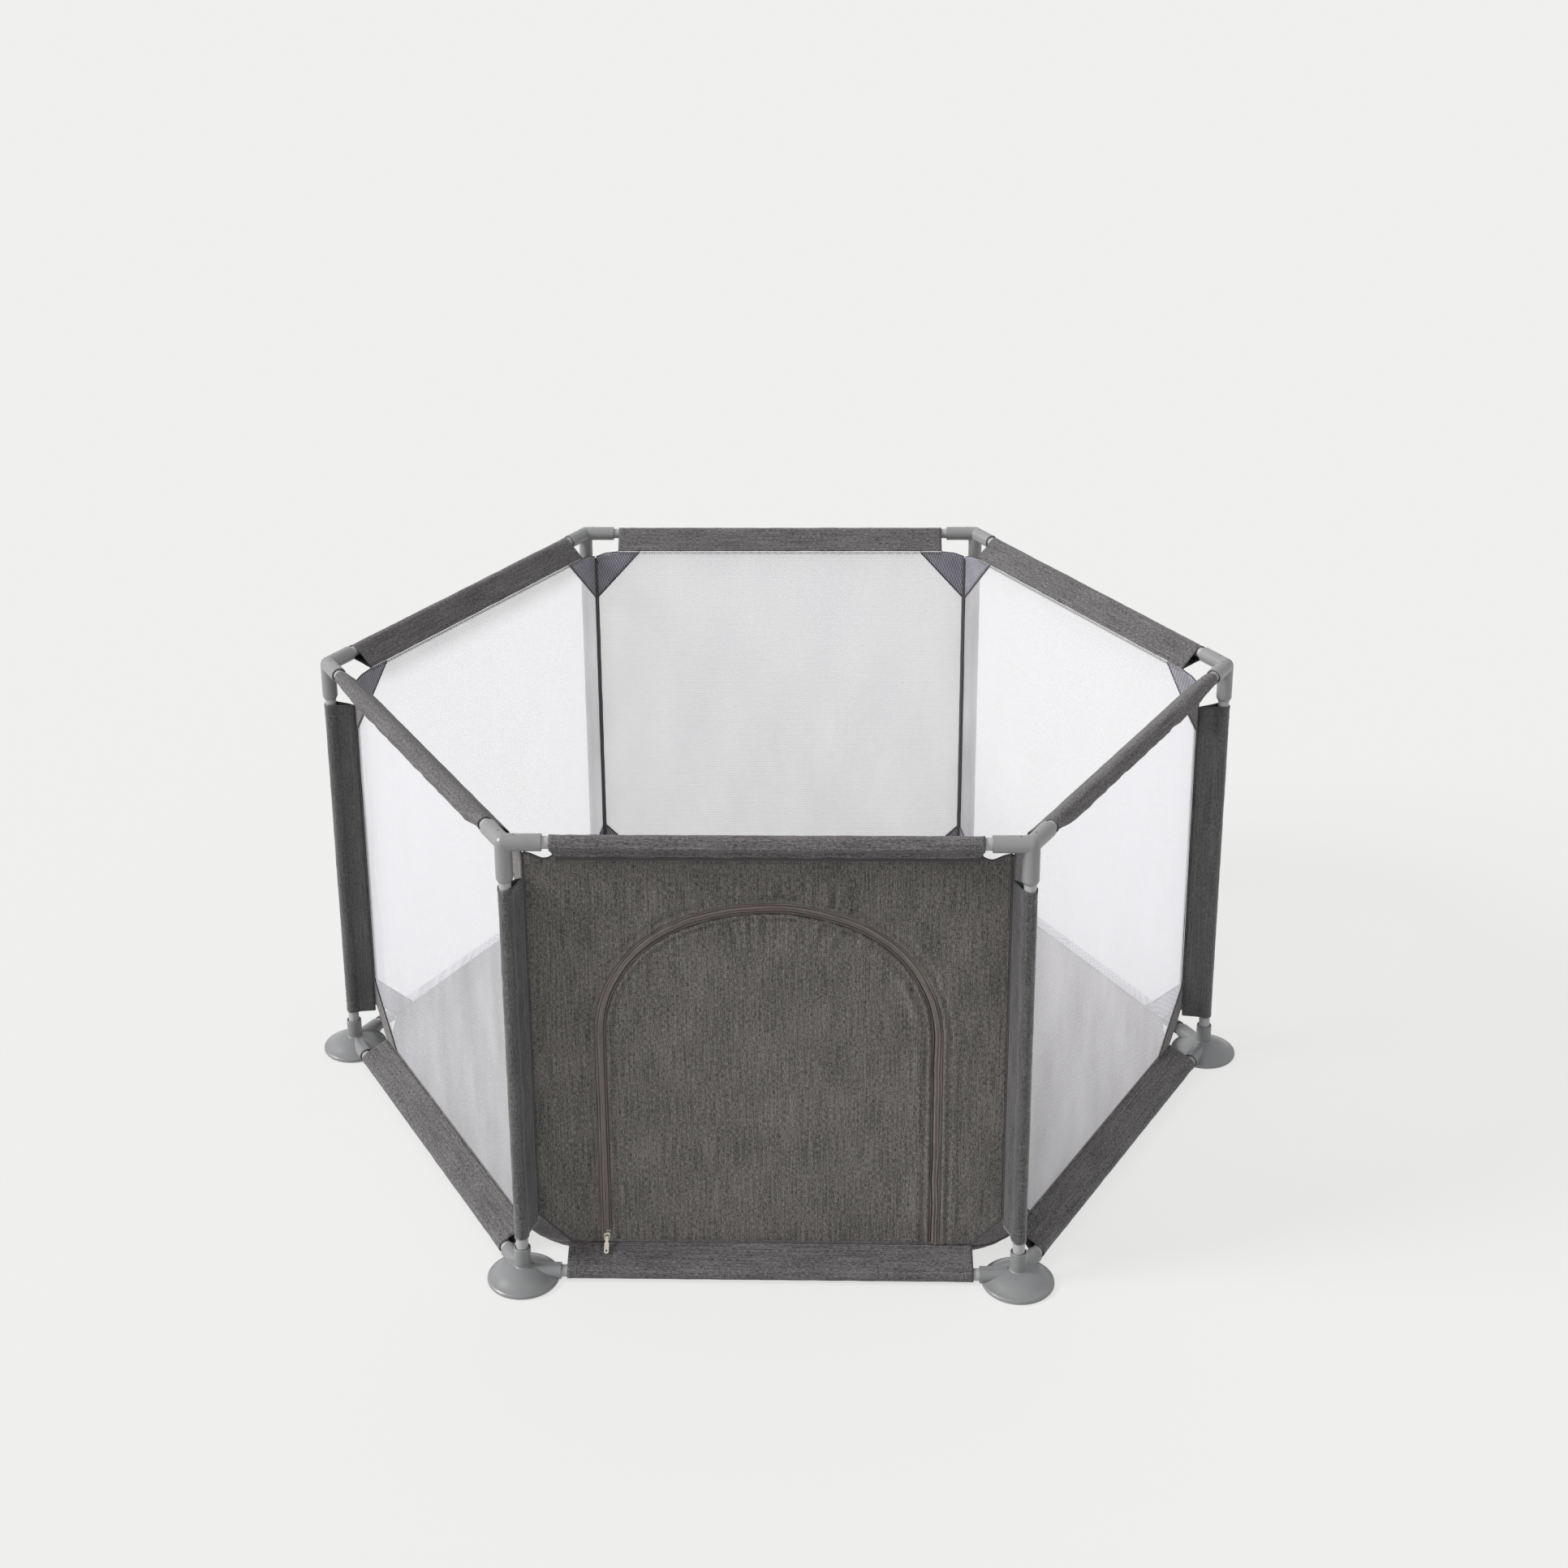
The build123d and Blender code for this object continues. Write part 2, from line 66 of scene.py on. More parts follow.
SIDES = {"right_back": 30, "back": 90, "left_back": 150, "left_front": 210, "front": 270, "right_front": 330}
CORNERS = {"right": 0, "back_right": 60, "back_left": 120, "left": 180, "front_left": 240, "front_right": 300}
MESH_SIDES = [name for name in SIDES if name != "front"]

post_low, post_high = box_mm("post_right")
CORNER_RADIUS = (post_low[0] + post_high[0]) / 2
APOTHEM = CORNER_RADIUS * cos(radians(30))
rail_low, rail_high = box_mm("top_rail_front")
TOP_RAIL = (rail_low[2] + rail_high[2]) / 2
TUBE = (rail_high[2] - rail_low[2]) / 2
rail_low, rail_high = box_mm("bottom_rail_front")
BOTTOM_RAIL = (rail_low[2] + rail_high[2]) / 2
wall_low, wall_high = box_mm("mesh_panel_back")
PANEL_OUT = (wall_low[1] + wall_high[1]) / 2 - APOTHEM
PANEL_HALF = wall_high[0]
PANEL_BOTTOM, PANEL_TOP = wall_low[2], wall_high[2]
TOP_SLEEVE_HALF = box_mm("top_sleeve_back")[1][0]
BOTTOM_SLEEVE_HALF = TOP_SLEEVE_HALF - 2
POST_SLEEVE_BOTTOM, POST_SLEEVE_TOP = box_mm("post_sleeve_right")[0][2], box_mm("post_sleeve_right")[1][2]
seam_low, seam_high = box_mm("corner_seams")
SEAM_RADIUS, SEAM_TOP, SEAM_BOTTOM = seam_high[0] - 1.5, seam_high[2], seam_low[2]
TAPE_WIDTH = 12.5
tape_high = box_mm("zip_tape_panel")[1]
ZIP_HALF = tape_high[0] - TAPE_WIDTH
ZIP_APEX = tape_high[2] - TAPE_WIDTH
DOOR_BOTTOM = box_mm("door_flap")[0][2]
CORNER_CUT = SEAM_BOTTOM - PANEL_BOTTOM

# ---------------------------------------------------------------- small tools


def turn(points, azimuth, radius):
    """Wall or corner points (out, along, up) in the frame's millimetres."""
    points = np.asarray(points, float)
    c, s = cos(radians(azimuth)), sin(radians(azimuth))
    out, along = points[..., 0] + radius, points[..., 1]
    return np.stack([out * c - along * s, out * s + along * c, points[..., 2]], axis=-1)


def wander(a, b=0.0, seed=0.0):
    """Smooth noise from -1 to 1."""
    return noise.noise(Vector((a, b, seed)))


def smooth(value, low, high):
    t = min(1.0, max(0.0, (value - low) / (high - low)))
    return t * t * (3 - 2 * t)


def bell(value, middle, width):
    """1 at the middle, falling to 0 on both sides over about the width."""
    return np.exp(-((value - middle) / width) ** 2)


class Cloth:
    """Collects grids and loose faces, and writes them as one piece."""

    def __init__(self):
        self.points = []
        self.faces = []
        self.uvs = []

    def add(self, points, faces, uvs):
        first = len(self.points)
        self.points += [tuple(p) for p in np.asarray(points, float).reshape(-1, 3)]
        self.faces += [tuple(first + i for i in face) for face in faces]
        self.uvs += [tuple(uv) for uv in np.asarray(uvs, float).reshape(-1, 2)]

    def grid(self, points, uvs, ring=False):
        """points is rows by columns by 3; a ring joins its last column to its first."""
        rows, cols = points.shape[:2]
        faces = []
        for i in range(rows - 1):
            for j in range(cols if ring else cols - 1):
                k = (j + 1) % cols
                faces.append((i * cols + j, i * cols + k, (i + 1) * cols + k, (i + 1) * cols + j))
        self.add(points, faces, uvs)

    def piece(self, name, material, slot, body="root", thickness=0.0, offset=0.0, stands_for=()):
        mesh = bpy.data.meshes.new(name)
        mesh.from_pydata([tuple(0.001 * c for c in p) for p in self.points], [], self.faces)
        layer = mesh.uv_layers.new(name="cloth")
        order = np.zeros(len(mesh.loops), int)
        mesh.loops.foreach_get("vertex_index", order)
        layer.data.foreach_set("uv", (np.array(self.uvs)[order] * 0.001).ravel())
        mesh.polygons.foreach_set("use_smooth", [True] * len(mesh.polygons))
        mesh.materials.append(material)
        mesh.update()
        piece = bpy.data.objects.new(name, mesh)
        bpy.context.scene.collection.objects.link(piece)
        if thickness:
            shell = piece.modifiers.new("thickness", "SOLIDIFY")
            shell.thickness = 0.001 * thickness
            shell.offset = offset
            apply_modifiers(piece)
        if body:
            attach(piece, body)
        if stands_for:
            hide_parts(*stands_for)
        return piece


def apply_modifiers(piece):
    graph = bpy.context.evaluated_depsgraph_get()
    final = bpy.data.meshes.new_from_object(piece.evaluated_get(graph), depsgraph=graph)
    piece.modifiers.clear()
    piece.data = final
    final.name = piece.name


def lengths(path):
    path = np.asarray(path, float)
    steps = np.linalg.norm(np.diff(path, axis=0), axis=1)
    return np.concatenate([[0.0], np.cumsum(steps)])


def even(path, count):
    """The same open path with evenly spaced points, and its running length."""
    path = np.asarray(path, float)
    run = lengths(path)
    at = np.linspace(0, run[-1], count)
    return np.stack([np.interp(at, run, path[:, k]) for k in range(path.shape[1])], axis=1), at


def stitches(cloth, path, out, pitch=3.2, length=2.3, radius=0.28, across=None, skip=0.0):
    """A row of stitches along a path. out is the cloth's normal, and across turns each stitch sideways."""
    path = np.asarray(path, float)
    out = np.broadcast_to(np.asarray(out, float), path.shape)
    run = lengths(path)
    count = int((run[-1] - 2 * skip) / pitch)
    if count < 1:
        return
    at = skip + pitch * (np.arange(count) + 0.5)
    centre = np.stack([np.interp(at, run, path[:, k]) for k in range(3)], axis=1)
    ahead = np.stack([np.interp(at + 0.5, run, path[:, k]) for k in range(3)], axis=1)
    normal = np.stack([np.interp(at, run, out[:, k]) for k in range(3)], axis=1)
    heading = ahead - centre
    heading /= np.linalg.norm(heading, axis=1)[:, None] + 1e-9
    normal /= np.linalg.norm(normal, axis=1)[:, None]
    side = np.cross(normal, heading)
    if across is not None:
        a = radians(across)
        heading, side = heading * cos(a) + side * sin(a), side * cos(a) - heading * sin(a)
    rings = [(-0.5, 0.35, -0.55), (-0.3, 1.0, 0.1), (0.3, 1.0, 0.1), (0.5, 0.35, -0.55)]
    sides = 5
    for i in range(count):
        points = []
        for place, girth, rise in rings:
            middle = centre[i] + heading[i] * place * length + normal[i] * rise * radius
            for k in range(sides):
                a = 2 * pi * k / sides
                points.append(middle + radius * girth * (side[i] * cos(a) + normal[i] * sin(a)))
        faces = [(r * sides + k, r * sides + (k + 1) % sides, (r + 1) * sides + (k + 1) % sides,
                  (r + 1) * sides + k) for r in range(len(rings) - 1) for k in range(sides)]
        faces += [tuple(range(sides))[::-1], tuple(range(3 * sides, 4 * sides))]
        cloth.add(points, faces, [(at[i], k) for k in range(len(points))])


def trimmed(region, low, high, spacing):
    """A flat grid of (along, up) points cut to where region is positive, its rim pulled onto the edge."""
    columns = int(round((high[0] - low[0]) / spacing)) + 1
    rows = int(round((high[1] - low[1]) / spacing)) + 1
    along, up = np.meshgrid(np.linspace(low[0], high[0], columns), np.linspace(low[1], high[1], rows))
    mid_along = (along[:-1, :-1] + along[1:, 1:]) / 2
    mid_up = (up[:-1, :-1] + up[1:, 1:]) / 2
    keep = region(mid_along, mid_up) > 0
    index = np.arange(rows * columns).reshape(rows, columns)
    quads = np.stack([index[:-1, :-1], index[:-1, 1:], index[1:, 1:], index[1:, :-1]], axis=-1)[keep]
    uses = np.bincount(quads.ravel(), minlength=rows * columns)
    flat = np.stack([along.ravel(), up.ravel()], axis=1)
    rim = (uses > 0) & (uses < 4)
    for _ in range(4):
        a, u = flat[rim, 0], flat[rim, 1]
        value = region(a, u)
        slope = np.stack([region(a + 0.2, u) - region(a - 0.2, u), region(a, u + 0.2) - region(a, u - 0.2)],
                         axis=1) / 0.4
        size = np.maximum((slope ** 2).sum(axis=1), 0.25)
        flat[rim] -= np.clip(value / size, -spacing, spacing)[:, None] * slope
    new = -np.ones(rows * columns, int)
    used = np.flatnonzero(uses)
    new[used] = np.arange(len(used))
    return flat[used], new[quads]

# ---------------------------------------------------------------- materials


class Shader:
    """A principled material with short calls for its nodes. Lengths on a surface are metres."""

    def __init__(self, name, **sockets):
        self.material = bpy.data.materials.new(name)
        self.material.use_nodes = True
        self.tree = self.material.node_tree
        self.surface = self.tree.nodes["Principled BSDF"]
        for socket, value in sockets.items():
            self.surface.inputs[socket.replace("_", " ")].default_value = value

    def node(self, kind, inputs, **settings):
        made = self.tree.nodes.new("ShaderNode" + kind)
        for key, value in settings.items():
            setattr(made, key, value)
        for key, value in inputs.items():
            if isinstance(value, bpy.types.NodeSocket):
                self.tree.links.new(value, made.inputs[key])
            else:
                made.inputs[key].default_value = value
        return made

    def cloth_uv(self):
        return self.node("UVMap", {}, uv_map="cloth").outputs["UV"]

    def place(self):
        return self.node("TexCoord", {}).outputs["Object"]

    def noise(self, vector, scale, detail=2.0, rough=0.5):
        stretched = self.node("Mapping", {"Vector": vector, "Scale": scale}).outputs["Vector"]
        inputs = {"Vector": stretched, "Scale": 1.0, "Detail": detail, "Roughness": rough}
        return self.node("TexNoise", inputs).outputs["Fac"]

    def math(self, operation, a, b=0.0):
        return self.node("Math", {0: a, 1: b}, operation=operation).outputs["Value"]

    def distance(self, value, place):
        return self.math("ABSOLUTE", self.math("SUBTRACT", value, place))

    def vector(self, operation, a, b=(0, 0, 0), out="Vector"):
        return self.node("VectorMath", {0: a, 1: b}, operation=operation).outputs[out]

    def rescale(self, value, low, high, to_low=0.0, to_high=1.0):
        inputs = {"Value": value, "From Min": low, "From Max": high, "To Min": to_low, "To Max": to_high}
        return self.node("MapRange", inputs).outputs["Result"]

    def blend(self, factor, first, second):
        made = self.node("Mix", {}, data_type="RGBA")
        for index, value in ((0, factor), (6, first), (7, second)):
            if isinstance(value, bpy.types.NodeSocket):
                self.tree.links.new(value, made.inputs[index])
            else:
                made.inputs[index].default_value = value if index == 0 else (*value, 1.0)
        return made.outputs[2]

    def feed(self, name, socket):
        self.tree.links.new(socket, self.surface.inputs[name])

    def colour(self, socket):
        self.feed("Base Color", socket)

    def bump(self, height, distance, strength=1.0):
        made = self.node("Bump", {"Height": height, "Distance": distance, "Strength": strength})
        self.feed("Normal", made.outputs["Normal"])


def heather(name, dark, light, slub=0.6, sheen=0.12, grain=1.1, roughness=0.82):
    """Two-tone woven cloth: long slubs along the grain, short ones across it, and a fine weave."""
    look = Shader(name, Sheen_Weight=sheen, Sheen_Roughness=0.4)
    uv = look.cloth_uv()
    long_slubs = look.noise(uv, (900 * grain, 150 * grain, 1), 3.0, 0.72)
    cross_slubs = look.noise(uv, (150 * grain, 950 * grain, 1), 3.0, 0.7)
    streaks = look.noise(uv, (420 * grain, 14 * grain, 1), 2.0, 0.6)
    speckle = look.noise(uv, (1300, 1300, 1), 2.0, 0.7)
    clouds = look.noise(uv, (16, 11, 1), 2.0, 0.5)
    parts = ((long_slubs, slub), (cross_slubs, 1 - slub), (speckle, 0.26), (streaks, 0.24), (clouds, 0.08))
    total = None
    for part, weight in parts:
        share = look.math("MULTIPLY", part, weight)
        total = share if total is None else look.math("ADD", total, share)
    factor = look.rescale(total, 0.70, 0.93)
    look.colour(look.blend(factor, dark, light))
    look.feed("Roughness", look.rescale(speckle, 0.3, 0.7, roughness - 0.08, roughness + 0.08))
    warp = look.node("TexWave", {"Vector": uv, "Scale": 260.0, "Distortion": 0.6}, bands_direction="X")
    weft = look.node("TexWave", {"Vector": uv, "Scale": 260.0, "Distortion": 0.6}, bands_direction="Y")
    weave = look.math("ADD", warp.outputs["Fac"], weft.outputs["Fac"])
    height = look.math("ADD", look.math("MULTIPLY", weave, 0.5), long_slubs)
    look.bump(height, 0.00035, 0.7)
    return look.material


def knitted_mesh(name, thread, pitch=0.0027, hole=0.34):
    """White warp-knit net: round holes in a hexagonal layout, and slightly uneven tension."""
    look = Shader(name, Roughness=0.6, Sheen_Weight=0.1, Sheen_Roughness=0.5)
    uv = look.cloth_uv()
    tension = look.noise(uv, (14, 5, 1), 2.0, 0.5)
    cell = look.node("Mapping", {"Vector": uv, "Scale": (1 / pitch, 1 / (pitch * sqrt(3)), 1)})
    distances = []
    for shift in ((0, 0, 0), (0.5, 0.5, 0)):
        share = look.vector("FRACTION", look.vector("ADD", cell.outputs["Vector"], shift))
        centred = look.vector("MULTIPLY", look.vector("SUBTRACT", share, (0.5, 0.5, 0)), (1, sqrt(3), 0))
        distances.append(look.vector("LENGTH", centred, out="Value"))
    nearest = look.math("MINIMUM", *distances)
    nearest = look.math("ADD", nearest, look.rescale(tension, 0.3, 0.7, -0.03, 0.03))
    cover = look.rescale(nearest, hole - 0.07, hole + 0.05)
    shade = look.blend(look.rescale(nearest, hole, 0.6), tuple(0.9 * c for c in thread), thread)
    look.colour(shade)
    look.bump(nearest, 0.0003, 0.6)
    through = look.node("BsdfTranslucent", {"Color": shade})
    yarn = look.node("MixShader", {0: 0.5})
    holes = look.node("MixShader", {0: cover, 1: look.node("BsdfTransparent", {}).outputs[0]})
    look.tree.links.new(look.surface.outputs[0], yarn.inputs[1])
    look.tree.links.new(through.outputs[0], yarn.inputs[2])
    look.tree.links.new(yarn.outputs[0], holes.inputs[2])
    look.tree.links.new(holes.outputs[0], look.tree.nodes["Material Output"].inputs["Surface"])
    return look.material


def striped_lining(name, dark, light):
    """Dark backing seen through a diagonal open weave of pale threads."""
    look = Shader(name, Roughness=0.7, Sheen_Weight=0.1, Sheen_Roughness=0.5)
    uv = look.cloth_uv()
    slanted = look.node("Mapping", {"Vector": uv, "Rotation": (0, 0, radians(14))}).outputs["Vector"]
    threads = look.node("TexWave", {"Vector": slanted, "Scale": 118.0, "Distortion": 0.8, "Detail": 1.0},
                        bands_direction="X").outputs["Fac"]
    beads = look.node("TexWave", {"Vector": slanted, "Scale": 170.0, "Distortion": 0.6},
                      bands_direction="Y").outputs["Fac"]
    patches = look.noise(uv, (60, 30, 1), 2.0, 0.5)
    beaded = look.math("MULTIPLY", threads, look.rescale(beads, 0.0, 1.0, 0.6, 1.0))
    factor = look.rescale(beaded, 0.35, 0.95)
    factor = look.math("MULTIPLY", factor, look.rescale(patches, 0.3, 0.7, 0.7, 1.0))
    look.colour(look.blend(factor, dark, light))
    look.bump(threads, 0.0003, 0.7)
    return look.material


def moulded(name, tone, shift, roughness, gloss=0.0, grain=0.00004):
    """Injection-moulded plastic: faint flow clouds, a fine spark-eroded grain and dull scuffed patches."""
    look = Shader(name, Roughness=roughness, Coat_Weight=gloss, Coat_Roughness=0.12)
    place = look.place()
    flow = look.noise(place, (30, 30, 18), 3.0, 0.5)
    spark = look.noise(place, (1500, 1500, 1500), 2.0, 0.6)
    low = tuple(c * (1 - shift) for c in tone)
    high = tuple(min(1.0, c * (1 + shift)) for c in tone)
    look.colour(look.blend(look.rescale(flow, 0.3, 0.7), low, high))
    scuffs = look.noise(place, (90, 90, 90), 4.0, 0.7)
    look.feed("Roughness", look.rescale(scuffs, 0.35, 0.75, roughness - 0.05, roughness + 0.12))
    look.bump(spark, grain, 0.6)
    return look.material


def enamel(name, tone):
    """Powder-coated steel tube: orange-peel skin and a slight gloss."""
    look = Shader(name, Roughness=0.38, Metallic=0.0, Coat_Weight=0.25, Coat_Roughness=0.15)
    place = look.place()
    peel = look.noise(place, (420, 420, 420), 2.0, 0.5)
    drift = look.noise(place, (12, 12, 12), 2.0, 0.5)
    look.colour(look.blend(drift, tuple(0.93 * c for c in tone), tuple(1.05 * c for c in tone)))
    look.feed("Roughness", look.rescale(peel, 0.3, 0.7, 0.34, 0.44))
    look.bump(peel, 0.00006, 0.5)
    return look.material


def die_cast(name, tone):
    """Nickelled zinc: bright, with a faint brass warmth and fine polishing lines."""
    look = Shader(name, Metallic=1.0, Roughness=0.28)
    place = look.place()
    polish = look.noise(place, (4000, 4000, 300), 3.0, 0.6)
    warmth = look.noise(place, (220, 220, 220), 2.0, 0.5)
    look.colour(look.blend(warmth, tone, (tone[0], tone[1] * 0.93, tone[2] * 0.8)))
    look.feed("Roughness", look.rescale(polish, 0.3, 0.7, 0.2, 0.4))
    look.bump(polish, 0.00002, 0.5)
    return look.material


def thread(name, dark, light, roughness=0.7):
    """Sewing thread or narrow binding: twisted strands across the run."""
    look = Shader(name, Roughness=roughness, Sheen_Weight=0.2, Sheen_Roughness=0.4)
    place = look.place()
    twist = look.noise(place, (1300, 1300, 1300), 2.0, 0.6)
    look.colour(look.blend(look.rescale(twist, 0.3, 0.7), dark, light))
    look.bump(twist, 0.0002, 0.6)
    return look.material


def woven_tape(name, dark, light, shaded_chain_groove=0.0041, shaded_fold_groove=0.0068):
    """Zip tape with ribs along its length, and painted shade beside the coil, in its fold and under the
    cloth's edge.
    """
    look = Shader(name, Roughness=0.5, Sheen_Weight=0.25, Sheen_Roughness=0.35)
    uv = look.cloth_uv()
    ribs = look.noise(uv, (900, 14, 1), 3.0, 0.6)
    picks = look.noise(uv, (250, 1300, 1), 2.0, 0.6)
    both = look.math("ADD", look.math("MULTIPLY", ribs, 0.75), look.math("MULTIPLY", picks, 0.25))
    across = look.math("ABSOLUTE", look.node("SeparateXYZ", {0: uv}).outputs["X"])
    # Painted shade: the tape goes near-black in the coil's groove, in its fold and under the cloth's edge,
    # where shadow falls.
    painted_shade = look.rescale(look.distance(across, shaded_chain_groove), 0.0003, 0.0011, 0.1, 1.0)
    crease = look.rescale(look.distance(across, shaded_fold_groove), 0.0002, 0.0009, 0.4, 1.0)
    painted_shade_under_cloth = look.rescale(across, 0.0074, 0.0083, 1.0, 0.3)
    painted_shade = look.math("MULTIPLY", look.math("MULTIPLY", painted_shade, crease), painted_shade_under_cloth)
    tone = look.blend(look.rescale(both, 0.3, 0.72), dark, light)
    # This near-black colour is painted shade in the grooves and under the cloth, not the tape's own colour.
    look.colour(look.blend(painted_shade, (0.008, 0.006, 0.006), tone))
    look.bump(both, 0.0003, 0.8)
    return look.material


cover = heather("cover_heather", (0.020, 0.0186, 0.0174), (0.208, 0.194, 0.180))
sleeve_cloth = heather("sleeve_heather", (0.018, 0.0165, 0.0175), (0.172, 0.161, 0.166), slub=0.65)
post_cloth = heather("post_sleeve_satin", (0.015, 0.0142, 0.0145), (0.105, 0.101, 0.103), sheen=0.35,
                     roughness=0.5)
floor_heather = heather("floor_heather", (0.040, 0.037, 0.038), (0.20, 0.188, 0.188), slub=0.5)
gusset_outside = heather("gusset_heather", (0.05, 0.046, 0.046), (0.25, 0.235, 0.235), slub=0.5)
gusset_inside = striped_lining("gusset_lining", (0.055, 0.053, 0.062), (0.68, 0.67, 0.78))
net = knitted_mesh("white_net", (0.82, 0.813, 0.855))
# Used for real bindings and seam tape, and also for the painted shade strip under the front sleeve's lip.
binding_and_painted_shade = thread("binding_and_painted_shade", (0.018, 0.015, 0.018), (0.060, 0.052, 0.056))
grey_stitch = thread("grey_stitches", (0.10, 0.095, 0.094), (0.25, 0.238, 0.235))
light_stitch = thread("light_stitches", (0.13, 0.125, 0.125), (0.27, 0.26, 0.26))
tape_cloth = woven_tape("zip_tape_weave", (0.028, 0.021, 0.019), (0.215, 0.175, 0.160))
coil_plastic = thread("coil_nylon", (0.060, 0.048, 0.044), (0.19, 0.155, 0.142), 0.35)

grey_plastic = moulded("connector_grey", (0.185, 0.188, 0.188), 0.05, 0.36, 0.15)
foot_plastic = moulded("foot_grey", (0.165, 0.168, 0.172), 0.05, 0.34, 0.1)
pad_rubber = moulded("pad_black", (0.03, 0.03, 0.03), 0.2, 0.7)
tube_enamel = enamel("tube_enamel", (0.30, 0.30, 0.305))
zinc = die_cast("zip_zinc", (0.66, 0.63, 0.57))

for node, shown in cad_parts.items():
    if node.startswith("foot_") and node != "foot_pads":
        look = foot_plastic
    elif node.startswith("top_connector_"):
        look = grey_plastic
    elif node == "foot_pads":
        look = pad_rubber
    elif node in ("zip_slider", "zip_pull"):
        look = zinc
    elif node.startswith(("post_", "top_rail_", "bottom_rail_")) and "sleeve" not in node:
        look = tube_enamel
    else:
        continue
    for index in range(len(shown.data.materials)):
        shown.data.materials[index] = look

# ---------------------------------------------------------------- cloth helpers


def normals_of(points):
    """Unit normals of a grid, rows by columns by 3."""
    down = np.gradient(points, axis=0)
    across = np.gradient(points, axis=1)
    made = np.cross(down, across)
    return made / (np.linalg.norm(made, axis=2)[..., None] + 1e-9)


def noise_grid(a, b, seed):
    """Smooth noise over two arrays of the same shape."""
    flat = [noise.noise(Vector((x, y, seed))) for x, y in zip(np.ravel(a), np.ravel(b))]
    return np.array(flat).reshape(np.shape(a))


def tube_along(cloth, path, radius, sides=6, flat=1.0, out=None):
    """A thin rope or binding on a path; radius may change along it, and flat squeezes it along out."""
    path = np.asarray(path, float)
    heading = np.gradient(path, axis=0)
    heading /= np.linalg.norm(heading, axis=1)[:, None] + 1e-9
    guide = np.array((0.0, 0.0, 1.0) if out is None else out, float)
    guide = np.broadcast_to(guide, path.shape)
    side = np.cross(guide, heading)
    weak = np.linalg.norm(side, axis=1) < 0.05
    side[weak] = np.cross((1.0, 0.0, 0.0), heading[weak])
    side /= np.linalg.norm(side, axis=1)[:, None]
    lift = np.cross(heading, side)
    radius = np.broadcast_to(radius, len(path))[:, None, None]
    angles = np.linspace(0, 2 * pi, sides, endpoint=False)
    ring = side[:, None, :] * np.cos(angles)[None, :, None]
    ring = ring + flat * lift[:, None, :] * np.sin(angles)[None, :, None]
    points = path[:, None, :] + radius * ring
    run = lengths(path)
    uvs = [[(2 * k, r) for k in range(sides)] for r in run]
    first = len(cloth.points)
    cloth.grid(points, uvs, ring=True)
    last = first + (len(path) - 1) * sides
    cloth.faces.append(tuple(range(first, first + sides))[::-1])
    cloth.faces.append(tuple(range(last, last + sides)))


def zigzag(cloth, start, end, swing, pitch, radius, out):
    """A zigzag of thread from start to end, swinging to both sides."""
    start, end, swing = (np.asarray(v, float) for v in (start, end, swing))
    count = max(2, int(np.linalg.norm(end - start) / pitch * 2))
    share = np.linspace(0, 1, count + 1)[:, None]
    path = start + (end - start) * share
    path[::2] += swing
    path[1::2] -= swing
    tube_along(cloth, path, radius, 5, out=out)


def wall_direction(azimuth):
    return np.array((cos(radians(azimuth)), sin(radians(azimuth)), 0.0))


# ---------------------------------------------------------------- panels' outlines

PANEL_EDGE = PANEL_HALF + 1.5
NET_CORNER = ((0, PANEL_TOP), (TOP_SLEEVE_HALF - 1, PANEL_TOP), (289, 616.6), (PANEL_EDGE, 610.5))
FRONT_CORNER = ((0, PANEL_TOP), (262, PANEL_TOP), (269, 605), (275, 602), (281, 601.3), (287, 603.4),
                (295.5, 607.8), (PANEL_EDGE, 611))


def height_on(corner, along):
    return np.interp(np.abs(along), [p[0] for p in corner], [p[1] for p in corner])


def panel_region(corner):
    """Positive inside a panel: a shaped top edge, straight sides and cut lower corners."""
    def inside(along, up):
        reach = np.abs(along)
        cut = (up - PANEL_BOTTOM - reach + PANEL_HALF - CORNER_CUT) * sqrt(0.5)
        return np.minimum.reduce([height_on(corner, along) - up, up - PANEL_BOTTOM,
                                  PANEL_EDGE - reach, cut])
    return inside


ARCH_CORNER, ARCH_CROWN = 175.0, 275.0
ARCH_CENTRE = ZIP_HALF - ARCH_CORNER
CROWN_CENTRE = ZIP_APEX - ARCH_CROWN
SPRING = CROWN_CENTRE + sqrt((ARCH_CROWN - ARCH_CORNER) ** 2 - ARCH_CENTRE ** 2)
MEET_ANGLE = atan2(SPRING - CROWN_CENTRE, ARCH_CENTRE)
CLOTH_OVER_TAPE = 8.2
FRONT_LIFT = 0.3


def arch_offset(along, up):
    """Distance outside the zip's centre line: a three-centred arch on straight legs."""
    reach = np.abs(along)
    shoulder = np.hypot(reach - ARCH_CENTRE, up - SPRING) - ARCH_CORNER
    crown = np.hypot(reach, up - CROWN_CENTRE) - ARCH_CROWN
    over = np.where(reach * sin(MEET_ANGLE) < (up - CROWN_CENTRE) * cos(MEET_ANGLE), crown, shoulder)
    return np.where(up < SPRING, reach - ZIP_HALF, over)


